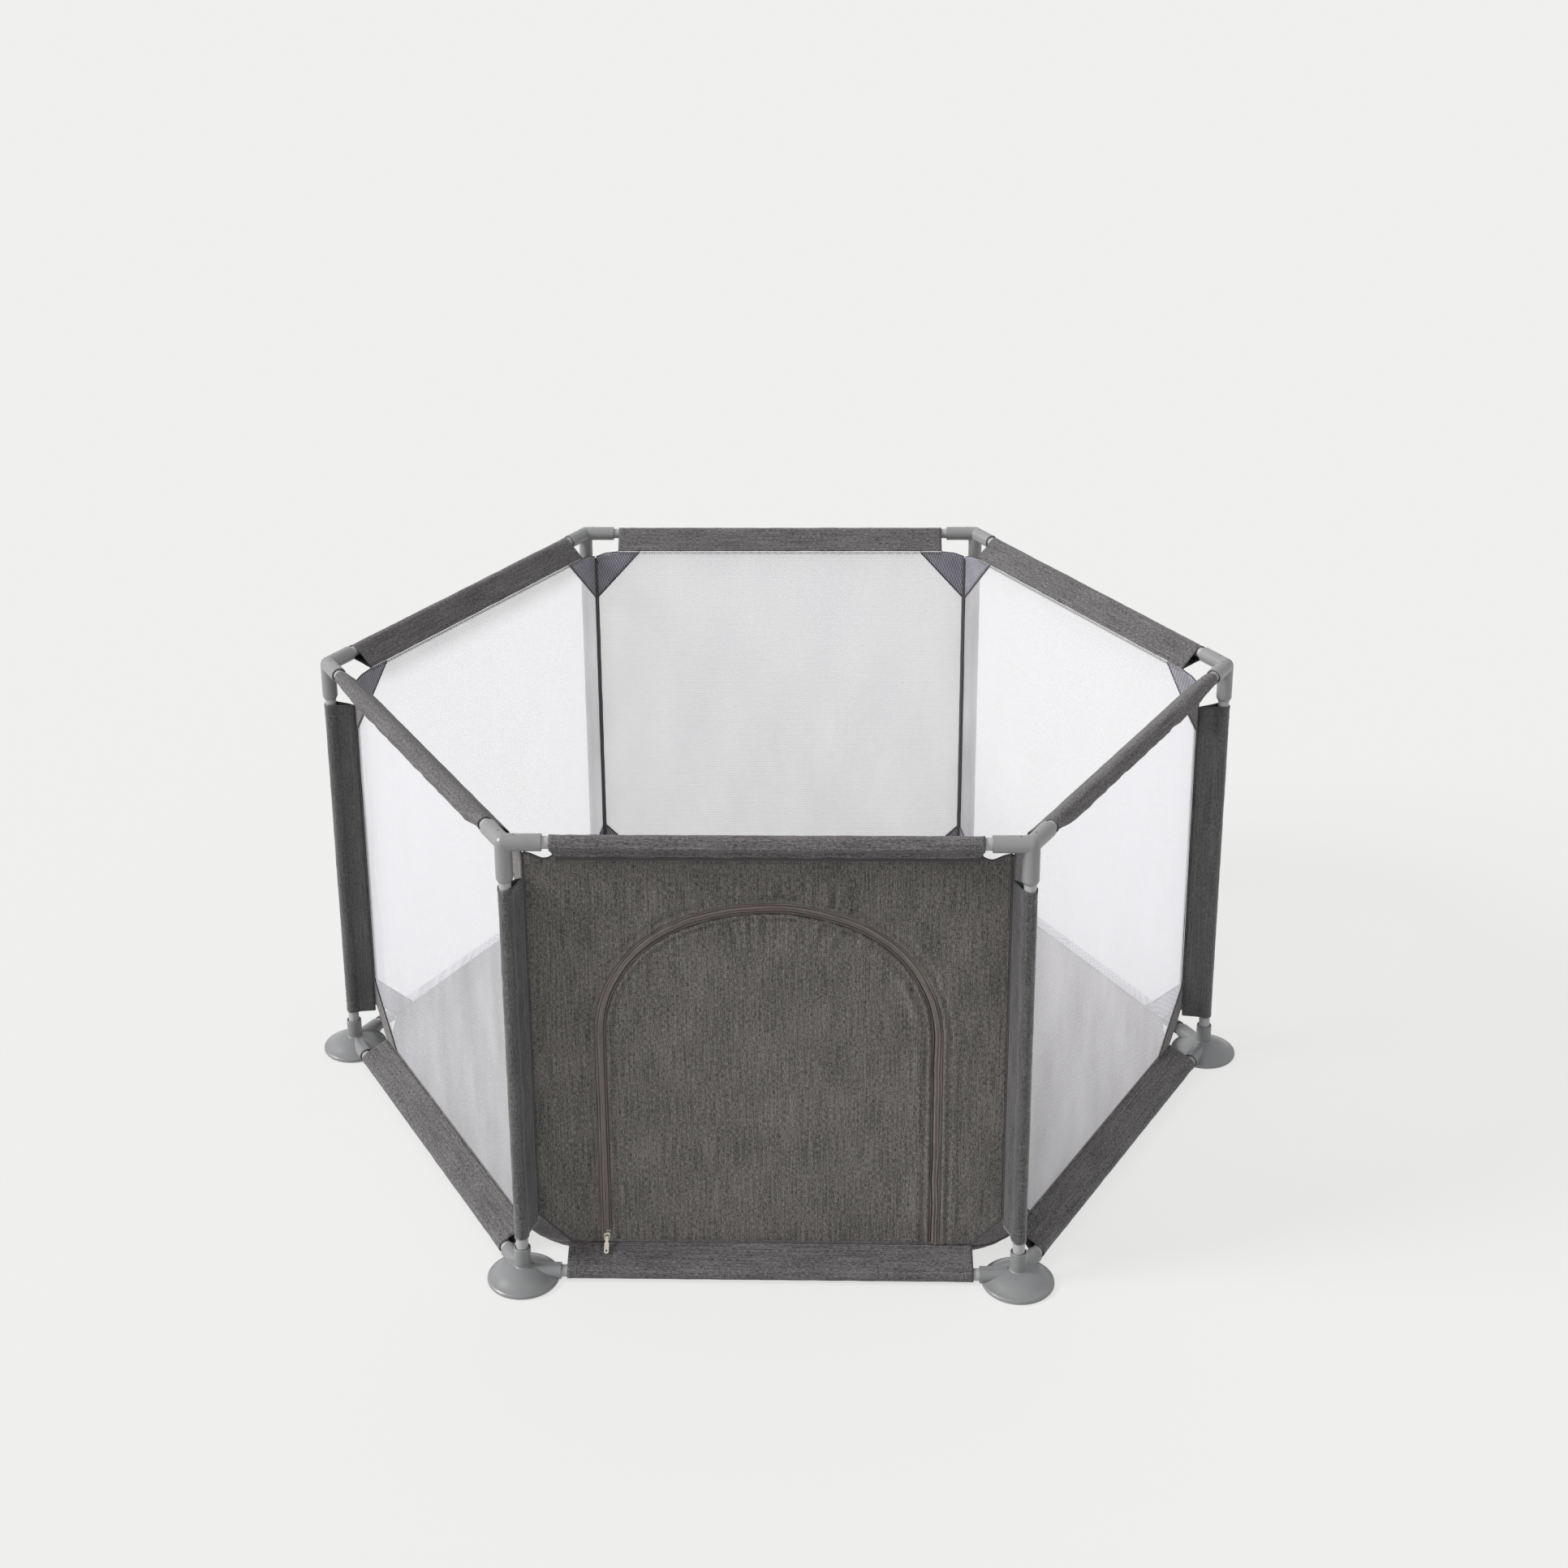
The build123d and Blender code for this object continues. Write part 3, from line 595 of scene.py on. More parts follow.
def arch_line(left_start, right_start, step):
    """Points (along, up), outward normals and running length of the zip's centre line, left to right."""
    legs = int((SPRING - min(left_start, right_start)) / step)
    points, normals = [], []
    for up in np.linspace(left_start, SPRING, legs, endpoint=False):
        points.append((-ZIP_HALF, up))
        normals.append((-1.0, 0.0))
    arcs = [(-ARCH_CENTRE, SPRING, ARCH_CORNER, pi, pi - MEET_ANGLE),
            (0.0, CROWN_CENTRE, ARCH_CROWN, pi - MEET_ANGLE, MEET_ANGLE),
            (ARCH_CENTRE, SPRING, ARCH_CORNER, MEET_ANGLE, 0.0)]
    for x, y, radius, start, end in arcs:
        for a in np.linspace(start, end, int(radius * abs(end - start) / step), endpoint=False):
            points.append((x + radius * cos(a), y + radius * sin(a)))
            normals.append((cos(a), sin(a)))
    for up in np.linspace(SPRING, right_start, legs):
        points.append((ZIP_HALF, up))
        normals.append((1.0, 0.0))
    return np.array(points), np.array(normals), lengths(points)


ARCH_POINTS, _, ARCH_RUN = arch_line(PANEL_BOTTOM, PANEL_BOTTOM, 3.0)
APEX_RUN = ARCH_RUN[-1] / 2


def arch_place(along, up):
    """Running length on the zip of the point nearest to each given point, 0 at the left leg's foot."""
    flat = np.stack([np.ravel(along), np.ravel(up)], axis=1)
    made = []
    for chunk in np.array_split(flat, max(1, len(flat) // 2000)):
        gap = ((chunk[:, None, :] - ARCH_POINTS[None, ::3, :]) ** 2).sum(axis=2)
        made.append(ARCH_RUN[::3][gap.argmin(axis=1)])
    return np.concatenate(made).reshape(np.shape(along))


SLIDER_TRAVEL = 420.0
SLIDER_REACH = 5.0
COIL_LIMIT = 1.0


def loose_share(place):
    """0 where the slider travels, 1 on the rest of the zip."""
    share = np.clip((place - SLIDER_TRAVEL + 40) / 100, 0, 1)
    return share * share * (3 - 2 * share)


def front_sag(along, up):
    """How far the front leaves its plane: slack between the corners, tall folds and seam puckers."""
    broad = 2.2 * noise_grid(along / 170, up / 150, 3.1)
    tall = 0.9 * noise_grid(along / 26, up / 190, 8.4)
    lower = np.exp(-(up - PANEL_BOTTOM) / 22)
    seam = 1.1 * lower * noise_grid(along / 9, up / 60, 5.5)
    upper = np.exp(-(PANEL_TOP - 14 - up) / 16)
    top = 0.8 * np.minimum(upper, 1.0) * noise_grid(along / 11, up / 50, 6.6)
    edge = np.minimum(1.0, (PANEL_EDGE - np.abs(along)) / 30)
    low_edge = np.minimum(1.0, (up - PANEL_BOTTOM) / 25)
    return broad * edge * low_edge + tall * edge * low_edge + seam + top


def front_lie(along, up, offset):
    """The front's slack, which fades where the zip has to stay straight for the slider."""
    near = bell(np.abs(offset), CLOTH_OVER_TAPE, 14)
    straight_part = 1 - loose_share(arch_place(along, up))
    return front_sag(along, up) * (1 - near * straight_part)


def zip_puckers(along, up, offset):
    """Short folds across the zip's seam, strongest over the crown, and one long fold along it."""
    place = arch_place(along, up)
    crown = bell(place, APEX_RUN, 170)
    reach = np.abs(offset) - CLOTH_OVER_TAPE
    fade = np.exp(-reach / (12 + 18 * crown)) * (1 - np.exp(-(reach + 1) / 3))
    short = noise_grid(place / 8.5, reach / 90, 11.3) * (0.5 + 1.9 * crown) * fade
    short = np.maximum(4.2 * short, -0.4 - 0.6 * np.maximum(reach - 4, 0))
    roll = 2.6 * bell(reach, 1.6, 2.6)
    valley = -1.3 * bell(reach, 7, 3.2) * (0.7 + 0.5 * noise_grid(place / 60, reach / 30, 2.2))
    swell = 1.3 * bell(reach, 15, 6.0)
    return short + roll + valley + swell


def front_out(along, up, offset):
    """Where the front's cloth lies, out from the rails' axis."""
    return PANEL_OUT + FRONT_LIFT + front_lie(along, up, offset) + zip_puckers(along, up, offset)


def wall_sheet(flat_points, quads, out, azimuth, grain_seed=0.0):
    """A cut sheet on a wall; grain_seed moves its weave, so that no two sheets show the same slubs."""
    made = Cloth()
    wall = turn(np.stack([out, flat_points[:, 0], flat_points[:, 1]], axis=1), azimuth, APOTHEM)
    made.add(wall, quads, flat_points + grain_seed)
    return made


# ---------------------------------------------------------------- front panel and zip door

FRONT_GRID = 2.5
COVER_CLOTH = 1.4
DOOR_GRAIN = 700.0
front_inside = panel_region(FRONT_CORNER)


def front_region(along, up):
    return np.minimum(front_inside(along, up), arch_offset(along, up) - CLOTH_OVER_TAPE)


def door_region(along, up):
    return np.minimum(-CLOTH_OVER_TAPE - arch_offset(along, up), up - DOOR_BOTTOM)


flat, quads = trimmed(front_region, (-PANEL_EDGE, PANEL_BOTTOM), (PANEL_EDGE, PANEL_TOP), FRONT_GRID)
offset = arch_offset(flat[:, 0], flat[:, 1])
front = wall_sheet(flat, quads, front_out(flat[:, 0], flat[:, 1], offset), SIDES["front"])
front_panel = front.piece("front_panel_cloth", cover, "heather_cloth", thickness=COVER_CLOTH,
                          stands_for=["front_panel"])

flat, quads = trimmed(door_region, (-ZIP_HALF, DOOR_BOTTOM), (ZIP_HALF, ZIP_APEX), FRONT_GRID)
offset = arch_offset(flat[:, 0], flat[:, 1])
shoulder_fold = 3.4 * bell(flat[:, 0], 175, 40) * bell(flat[:, 1], 430, 70) * bell(offset, -24, 5)
out = front_out(flat[:, 0], flat[:, 1], offset) + shoulder_fold
door = wall_sheet(flat, quads, out, SIDES["front"], DOOR_GRAIN)


def hinged(piece):
    """Cloth sewn along the door's bottom seam; its placement is baked into its mesh, and it is given no body
    to turn with.
    """
    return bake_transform(piece)


door_cloth = hinged(door.piece("door_flap_cloth", cover, "heather_cloth", body=None,
                               thickness=COVER_CLOTH, stands_for=["door_flap"]))

# Zip: two ribbed tapes, and the coil's teeth in the gap between them

TAPE_PROFILE = ((1.0, -1.2), (1.05, 0.6), (1.5, 1.7), (2.3, 2.2), (3.1, 1.7), (3.7, 0.2), (4.3, 0.0),
                (4.8, 1.0), (5.4, 1.6), (6.0, 1.3), (6.5, 0.4), (7.0, 0.3), (7.6, 1.0), (8.6, 0.6),
                (9.6, 0.2), (TAPE_WIDTH, 0.0))


def zip_waver(at, side, along, up):
    """How far the zip wanders sideways and off the wall; it runs true where the slider travels."""
    free = float(loose_share(at))
    sideways = 1.5 * wander(at / 42, 0.0, 7.0) * free
    sag = float(front_sag(np.array(along), np.array(up)))
    lift = (0.3 * wander(at / 9, side, 4.0) + sag) * free
    return sideways, lift, free


def zip_tape(side, left_start, right_start):
    """One tape of the zip; side is 1 for the panel's and -1 for the door's."""
    points, normals, run = arch_line(left_start, right_start, 2.4)
    made = Cloth()
    grid, uvs = [], []
    for (along, up), (nx, ny), at in zip(points, normals, run):
        at = at + left_start
        sideways, lift, free = zip_waver(at, side, along, up)
        row, uv = [], []
        for offset, out in TAPE_PROFILE:
            low = min(out, COIL_LIMIT) if offset < SLIDER_REACH else out
            height = low + (out - low) * free + lift
            waver = side * offset + sideways
            row.append((PANEL_OUT + height, along + nx * waver, up + ny * waver))
            uv.append((side * offset, at))
        grid.append(row)
        uvs.append(uv)
    made.grid(turn(grid, SIDES["front"], APOTHEM), uvs)
    return made


TOOTH_FACES = [(r * 3 + c, r * 3 + c + 1, r * 3 + c + 4, r * 3 + c + 3) for r in range(2) for c in range(2)]


def zip_teeth(side, left_start, right_start):
    """The coil's turns, seen from outside as short bars across the chain."""
    points, normals, run = arch_line(left_start, right_start, 1.6)
    made = Cloth()
    for i in range(len(points) - 1):
        along, up = points[i]
        nx, ny = normals[i]
        sideways, lift, free = zip_waver(run[i] + left_start, side, along, up)
        middle = side * 1.9 + sideways
        crest = COIL_LIMIT + 0.1 + (2.35 - COIL_LIMIT) * free
        corner = []
        for across in (-1.2, -0.4, 1.3):
            for ahead in (-0.45, 0.0, 0.45):
                rise = crest - 0.5 * abs(ahead) / 0.45 - (0.5 if across > 1 else 0.0)
                shift = middle + side * across
                corner.append((PANEL_OUT + rise + lift, along + nx * shift + ny * ahead,
                               up + ny * shift - nx * ahead))
        made.add(turn(corner, SIDES["front"], APOTHEM), TOOTH_FACES, [(run[i], k) for k in range(9)])
    return made


SLIDER_CLEARANCE = 5
door_start = box_mm("zip_slider")[1][2] + SLIDER_CLEARANCE
panel_tape = zip_tape(1, PANEL_BOTTOM, PANEL_BOTTOM).piece(
    "zip_tape_panel_weave", tape_cloth, "zip_tape", thickness=0.7, offset=-1, stands_for=["zip_tape_panel"])
door_tape = hinged(zip_tape(-1, door_start, DOOR_BOTTOM).piece(
    "zip_tape_door_weave", tape_cloth, "zip_tape", body=None, thickness=0.7, offset=-1,
    stands_for=["zip_tape_door"]))
panel_teeth = zip_teeth(1, PANEL_BOTTOM, PANEL_BOTTOM).piece(
    "zip_coil_panel", coil_plastic, "zip_tape", thickness=0.5, offset=-1)
door_teeth = hinged(zip_teeth(-1, door_start, DOOR_BOTTOM).piece(
    "zip_coil_door", coil_plastic, "zip_tape", body=None, thickness=0.5, offset=-1))


def along_arch(offset, lift, low):
    """A line on the front's outer face beside the zip, at an offset outside its centre line."""
    points, normals, _ = arch_line(low, low, 2.4)
    where = points + normals * offset
    beside = np.full(len(where), float(offset))
    out = front_out(where[:, 0], where[:, 1], beside) + COVER_CLOTH / 2 + lift
    return turn(np.column_stack([out, where]), SIDES["front"], APOTHEM)


FRONT_OUT = wall_direction(SIDES["front"])
SEAM_START = 4
ZIP_STITCH = dict(pitch=3.4, length=2.5, radius=0.32)
OVERCAST = dict(pitch=2.5, length=3.2, radius=0.35, across=82)
OVERCAST_REACH = 52              # points of the line to each side of the crown
panel_seam_thread, door_seam_thread = Cloth(), Cloth()
line = along_arch(CLOTH_OVER_TAPE + 3.2, 0.1, PANEL_BOTTOM + SEAM_START)
stitches(panel_seam_thread, line, FRONT_OUT, **ZIP_STITCH)
crown = slice(len(line) // 2 - OVERCAST_REACH, len(line) // 2 + OVERCAST_REACH)
line = along_arch(CLOTH_OVER_TAPE + 0.6, 0.2, PANEL_BOTTOM + SEAM_START)
stitches(panel_seam_thread, line[crown], FRONT_OUT, **OVERCAST)
line = along_arch(-CLOTH_OVER_TAPE - 2.6, 0.1, DOOR_BOTTOM + SEAM_START)
stitches(door_seam_thread, line, FRONT_OUT, **ZIP_STITCH)
panel_seam = panel_seam_thread.piece("zip_seam_panel_stitches", grey_stitch, "heather_cloth")
door_seam = hinged(door_seam_thread.piece("zip_seam_door_stitches", grey_stitch, "heather_cloth",
                                          body=None))

# ---------------------------------------------------------------- mesh panels, gussets and their bindings

UPPER_GUSSET_START = 233.0
UPPER_GUSSET_REACH = 538.0
LOWER_GUSSET = 82.0
net_inside = panel_region(NET_CORNER)


def net_sag(along, up, seed):
    """Slack in the net: it bows in a little, and pulls in shallow folds from the corners."""
    width = np.cos(np.clip(along / PANEL_EDGE, -1, 1) * pi / 2)
    height = np.sin(np.clip((up - PANEL_BOTTOM) / (PANEL_TOP - PANEL_BOTTOM), 0, 1) * pi)
    bow = -3.0 * width * height
    ripple = 1.4 * noise_grid(along / 60, up / 140, seed) * height
    return bow + ripple


def upper_gusset_region(along, up):
    reach = np.abs(along)
    run, drop = PANEL_EDGE - UPPER_GUSSET_START, PANEL_TOP - UPPER_GUSSET_REACH
    diagonal = ((reach - UPPER_GUSSET_START) * drop - (PANEL_TOP - up) * run) / hypot(run, drop)
    return np.minimum(net_inside(along, up), diagonal)


def lower_gusset_region(along, up):
    reach = np.abs(along)
    diagonal = (reach - (PANEL_EDGE - LOWER_GUSSET) - (up - PANEL_BOTTOM)) * sqrt(0.5)
    return np.minimum(net_inside(along, up), diagonal)


def net_point(along, up, lift, azimuth, seed):
    along, up = np.asarray(along, float), np.asarray(up, float)
    out = PANEL_OUT + lift + net_sag(along, up, seed)
    return turn(np.stack([out, along, up], axis=-1), azimuth, APOTHEM)


def straight(start, end, count=24):
    share = np.linspace(0, 1, count)
    return start[0] + (end[0] - start[0]) * share, start[1] + (end[1] - start[1]) * share


for index, name in enumerate(MESH_SIDES):
    azimuth, seed = SIDES[name], 20.0 + 7 * index
    facing = wall_direction(azimuth)
    flat, quads = trimmed(net_inside, (-PANEL_EDGE, PANEL_BOTTOM), (PANEL_EDGE, PANEL_TOP), 9.0)
    out = PANEL_OUT + net_sag(flat[:, 0], flat[:, 1], seed)
    net_cloth = wall_sheet(flat, quads, out, azimuth)
    panel = net_cloth.piece("net_panel_" + name, net, "mesh_cloth", stands_for=["mesh_panel_" + name])
    for level, region, low, high in (("upper", upper_gusset_region, UPPER_GUSSET_REACH, PANEL_TOP),
                                     ("lower", lower_gusset_region, PANEL_BOTTOM,
                                      PANEL_BOTTOM + LOWER_GUSSET)):
        flat, quads = trimmed(region, (-PANEL_EDGE, low), (PANEL_EDGE, high), 3.5)
        ripple = 0.5 * noise_grid(flat[:, 0] / 14, flat[:, 1] / 14, seed + 2)
        sag = net_sag(flat[:, 0], flat[:, 1], seed)
        outer = wall_sheet(flat, quads, PANEL_OUT + 1.2 + sag + ripple, azimuth, seed)
        inner = wall_sheet(flat, quads, PANEL_OUT - 0.7 + sag + 0.4 * ripple, azimuth, seed)
        outer.piece(f"{level}_gussets_{name}", gusset_outside, "gusset_cloth", thickness=0.6,
                                 stands_for=[level + "_gussets"])
        inner.piece(f"{level}_gusset_linings_{name}", gusset_inside, "gusset_cloth",
                                 thickness=0.4)
    binding, teeth = Cloth(), Cloth()
    for side in (-1, 1):
        upper = straight((side * UPPER_GUSSET_START, PANEL_TOP),
                         (side * PANEL_EDGE, UPPER_GUSSET_REACH), 44)
        lower = straight((side * (PANEL_EDGE - LOWER_GUSSET), PANEL_BOTTOM),
                         (side * PANEL_EDGE, PANEL_BOTTOM + LOWER_GUSSET), 40)
        cut = straight((side * (PANEL_HALF - CORNER_CUT), PANEL_BOTTOM),
                       (side * PANEL_HALF, SEAM_BOTTOM), 20)
        for along, up in (upper, lower):
            for lift in (-1.1, 1.5):
                path = net_point(along, up, lift, azimuth, seed)
                scallop = 1.05 + 0.35 * np.sin(lengths(path) * 2 * pi / 4.4)
                tube_along(binding, path, scallop, 6, flat=0.55, out=facing)
        path = net_point(*cut, 0.2, azimuth, seed)
        tube_along(binding, path, 1.5, 8, flat=0.8, out=facing)
        corner = np.array([p for p in NET_CORNER[1:]])
        top_edge = even(np.column_stack([side * corner[:, 0], corner[:, 1]]), 16)[0]
        tube_along(binding, net_point(top_edge[:, 0], top_edge[:, 1], 0.2, azimuth, seed), 1.2, 8,
                   out=facing)
    for lift in (-1.2, 1.0):
        zigzag(teeth, net_point(-TOP_SLEEVE_HALF + 1, PANEL_TOP - 1.6, lift, azimuth, seed),
               net_point(TOP_SLEEVE_HALF - 1, PANEL_TOP - 1.6, lift, azimuth, seed), (0, 0, 1.9), 4.5, 0.42,
               facing)
        zigzag(teeth, net_point(-BOTTOM_SLEEVE_HALF + 4, PANEL_BOTTOM + 1.6, lift, azimuth, seed),
               net_point(BOTTOM_SLEEVE_HALF - 4, PANEL_BOTTOM + 1.6, lift, azimuth, seed), (0, 0, 1.9), 4.5,
               0.42, facing)
    binding.piece("net_bindings_" + name, binding_and_painted_shade, "gusset_cloth")
    teeth.piece("net_overlock_" + name, grey_stitch, "heather_cloth")

# ---------------------------------------------------------------- rail sleeves

SLEEVE_BORE = TUBE + 1.1
TOP_SEAM = (PANEL_OUT + 0.6, PANEL_TOP + 2 - TOP_RAIL)
BOTTOM_SEAM = (PANEL_OUT + 1.4, PANEL_BOTTOM - 2 - BOTTOM_RAIL)
TOP_LIP = (3.2, -16.4)
TIGHT_LIP = (1.0, -8.4)
LIP_ROUND = 1.2
SHORT_LIP_GROWTH, LONG_LIP_GROWTH = 6, 62
PIPING = (9.6, -3.2)
TIGHT_PIPING = (7.4, -1.5)
PIPING_ROUND = 1.5


def circle(centre, radius, count=28):
    angles = np.linspace(0, 2 * pi, count, endpoint=False)
    return np.column_stack([centre[0] + radius * np.cos(angles), centre[1] + radius * np.sin(angles)])


def hull(points):
    """Convex hull of flat points, anticlockwise."""
    points = sorted(map(tuple, points))
    chains = []
    for ordered in (points, points[::-1]):
        chain = []
        for p in ordered:
            while len(chain) > 1 and ((chain[-1][0] - chain[-2][0]) * (p[1] - chain[-2][1])
                                      - (chain[-1][1] - chain[-2][1]) * (p[0] - chain[-2][0])) <= 0:
                chain.pop()
            chain.append(p)
        chains.append(chain[:-1])
    return np.array(chains[0] + chains[1])


def taut_loop(seam, count, lip=None, piping=None):
    """Section of cloth pulled round the rail, a piped ridge and a hanging lip, from its seam back to it."""
    rounds = [circle((0, 0), SLEEVE_BORE), circle(seam, 0.6, 12)]
    if lip:
        rounds += [circle(lip, LIP_ROUND, 16), circle(piping, PIPING_ROUND, 16)]
    outline = hull(np.concatenate(rounds))
    inward = np.hypot(outline[:, 0] - (seam[0] - 3), outline[:, 1] - seam[1])
    outline = np.roll(outline, -int(inward.argmin()), axis=0)
    return even(np.vstack([outline, outline[:1]]), count)


def top_sleeve(name, seed, columns=84):
    """Tight at its ends, and hanging in a wavy lip between them, with a piped ridge on its outer side."""
    azimuth, half = SIDES[name], TOP_SLEEVE_HALF - 0.8
    growth = LONG_LIP_GROWTH if name in ("left_front", "right_front") else SHORT_LIP_GROWTH
    stations = np.linspace(-half, half, 124)
    grid, uvs = [], []
    for s in stations:
        from_end = half - abs(s)
        wave = 0.16 * wander(s / 34, 0, seed) + 0.08 * wander(s / 9, 1, seed)
        slack = smooth(from_end, 2, growth) * (1 + wave)
        lip = tuple(t + (l - t) * min(1.06, slack) for t, l in zip(TIGHT_LIP, TOP_LIP))
        lip = (lip[0] + 1.2 * wander(s / 22, 5, seed), lip[1])
        proud = smooth(from_end, 2, 60)
        piping = tuple(t + (l - t) * proud for t, l in zip(TIGHT_PIPING, PIPING))
        section, run = taut_loop(TOP_SEAM, columns, lip, piping)
        grid.append(np.column_stack([section[:, 0], np.full(columns, s), section[:, 1]]))
        uvs.append(np.column_stack([run, np.full(columns, s + seed * 31)]))
    grid, uvs = np.array(grid), np.array(uvs)
    normal = normals_of(grid)
    outward = np.sign((normal[:, :, 0] * grid[:, :, 0] + normal[:, :, 2] * (grid[:, :, 2] + 3)).mean())
    normal *= outward
    angle = np.degrees(np.arctan2(grid[:, :, 2], grid[:, :, 0]))
    near_tube = grid[:, :, 0] > 0
    piping = 0.9 * bell(angle, -16, 6) - 1.6 * bell(angle, -38, 9) - 2.8 * bell(angle, -58, 10)
    along = grid[:, :, 1]
    fine = 0.28 * noise_grid(along / 5, uvs[:, :, 0] / 30, seed + 1)
    broad = 0.5 * noise_grid(along / 30, uvs[:, :, 0] / 12, seed + 2)
    crease = 0.6 * noise_grid(along / 13, uvs[:, :, 0] / 9, seed + 3) * np.exp(-(half - abs(along)) / 30)
    lift = np.where(near_tube, piping * np.minimum(1, (half - abs(along)) / 14), 0) + fine + broad + crease
    end_hem = 0.5 * bell(half - abs(along), 1.5, 2.0)
    grid += normal * (lift + end_hem)[:, :, None]
    made = Cloth()
    placed = turn(grid + np.array((0, 0, TOP_RAIL)), azimuth, APOTHEM)
    made.grid(placed, uvs)
    piece = made.piece("top_sleeve_cloth_" + name, sleeve_cloth, "heather_cloth", thickness=1.0, offset=0,
                       stands_for=["top_sleeve_" + name])
    return piece, grid, normal, uvs[:, -1, 0].mean()


def bottom_sleeve(name, seed, columns=52):
    """Pulled tight over the low rail, with slanting puckers and a stitched hem at each end."""
    azimuth, half = SIDES[name], BOTTOM_SLEEVE_HALF - 0.5
    stations = np.linspace(-half, half, 150)
    grid, uvs = [], []
    for s in stations:
        seam = (BOTTOM_SEAM[0], BOTTOM_SEAM[1] + 0.5 * wander(s / 14, 2, seed))
        section, run = taut_loop(seam, columns)
        grid.append(np.column_stack([section[:, 0], np.full(columns, s), section[:, 1]]))
        uvs.append(np.column_stack([run, np.full(columns, s + seed * 31)]))
    grid, uvs = np.array(grid), np.array(uvs)
    normal = normals_of(grid)
    normal *= np.sign((normal[:, :, 0] * grid[:, :, 0] + normal[:, :, 2] * grid[:, :, 2]).mean())
    along = grid[:, :, 1]
    seam_gap = np.hypot(grid[:, :, 0] - BOTTOM_SEAM[0], grid[:, :, 2] - BOTTOM_SEAM[1])
    slant = along + 0.55 * seam_gap
    pucker = 1.0 * noise_grid(slant / 8, seam_gap / 60, seed + 1) * np.exp(-seam_gap / 20)
    broad = 0.55 * noise_grid(slant / 24, seam_gap / 22, seed + 2)
    clear = np.clip((grid[:, :, 2] + BOTTOM_RAIL - 0.8) / 6, 0, 1)
    end_hem = 0.7 * bell(half - abs(along), 2.5, 2.4)
    lift = (pucker + broad) * clear + end_hem * clear
    lift = np.minimum(lift, 2.0)
    grid = grid + normal * lift[:, :, None]
    grid[:, :, 2] = np.maximum(grid[:, :, 2], 1.0 - BOTTOM_RAIL)
    made = Cloth()
    made.grid(turn(grid + np.array((0, 0, BOTTOM_RAIL)), azimuth, APOTHEM), uvs)
    piece = made.piece("bottom_sleeve_cloth_" + name, sleeve_cloth, "heather_cloth", thickness=1.0, offset=0,
                       stands_for=["bottom_sleeves"])
    return piece, grid, normal, uvs[:, -1, 0].mean()


STITCH_LIFT = 0.6
HEM_ROWS = (3, -4)
HEM_STITCH = dict(pitch=3.6, length=2.4, radius=0.3, skip=2)


def sew_sleeve(cloth, grid, normal, rail, azimuth, columns):
    """Stitches along two columns of a rail sleeve's grid, then round its ends."""
    lines = [((slice(None), column), dict(skip=4)) for column in columns]
    lines += [(row, HEM_STITCH) for row in HEM_ROWS]
    for where, settings in lines:
        path = grid[where] + normal[where] * STITCH_LIFT + np.array((0, 0, rail))
        stitches(cloth, turn(path, azimuth, APOTHEM), turn(normal[where], azimuth, 0), **settings)


for index, name in enumerate(SIDES):
    azimuth, seed = SIDES[name], 50.0 + 11 * index
    sewing = Cloth()
    top, grid, normal, top_girth = top_sleeve(name, seed)
    sew_sleeve(sewing, grid, normal, TOP_RAIL, azimuth, (5, -6))
    bottom, grid, normal, bottom_girth = bottom_sleeve(name, seed + 4)
    sew_sleeve(sewing, grid, normal, BOTTOM_RAIL, azimuth, (4, -5))
    sewn = sewing.piece("sleeve_stitches_" + name, light_stitch, "heather_cloth")

# ---------------------------------------------------------------- post sleeves and corner seams

FIN_INNER = SEAM_RADIUS + 1.8 - CORNER_RADIUS
TOP_DROP, FRONT_DROP = 4.0, 1.5


def half_section(pinch, count, bore):
    """Half of the cloth's section round a post, from seam to front: a teardrop, or a pinched fin."""
    touch = radians(180) - acos(bore / -FIN_INNER)
    drop = [(FIN_INNER, 0.6)] + [(bore * cos(a), bore * sin(a)) for a in np.linspace(touch, 0, 30)]
    start = radians(180) - 0.12
    fin = [(FIN_INNER, 0.6), (-bore - 6, 1.1), (-bore - 1.5, 1.6)]
    fin += [(bore * cos(a), bore * sin(a)) for a in np.linspace(start - 0.2, 0, 30)]
    return even(drop, count)[0] * (1 - pinch) + even(fin, count)[0] * pinch


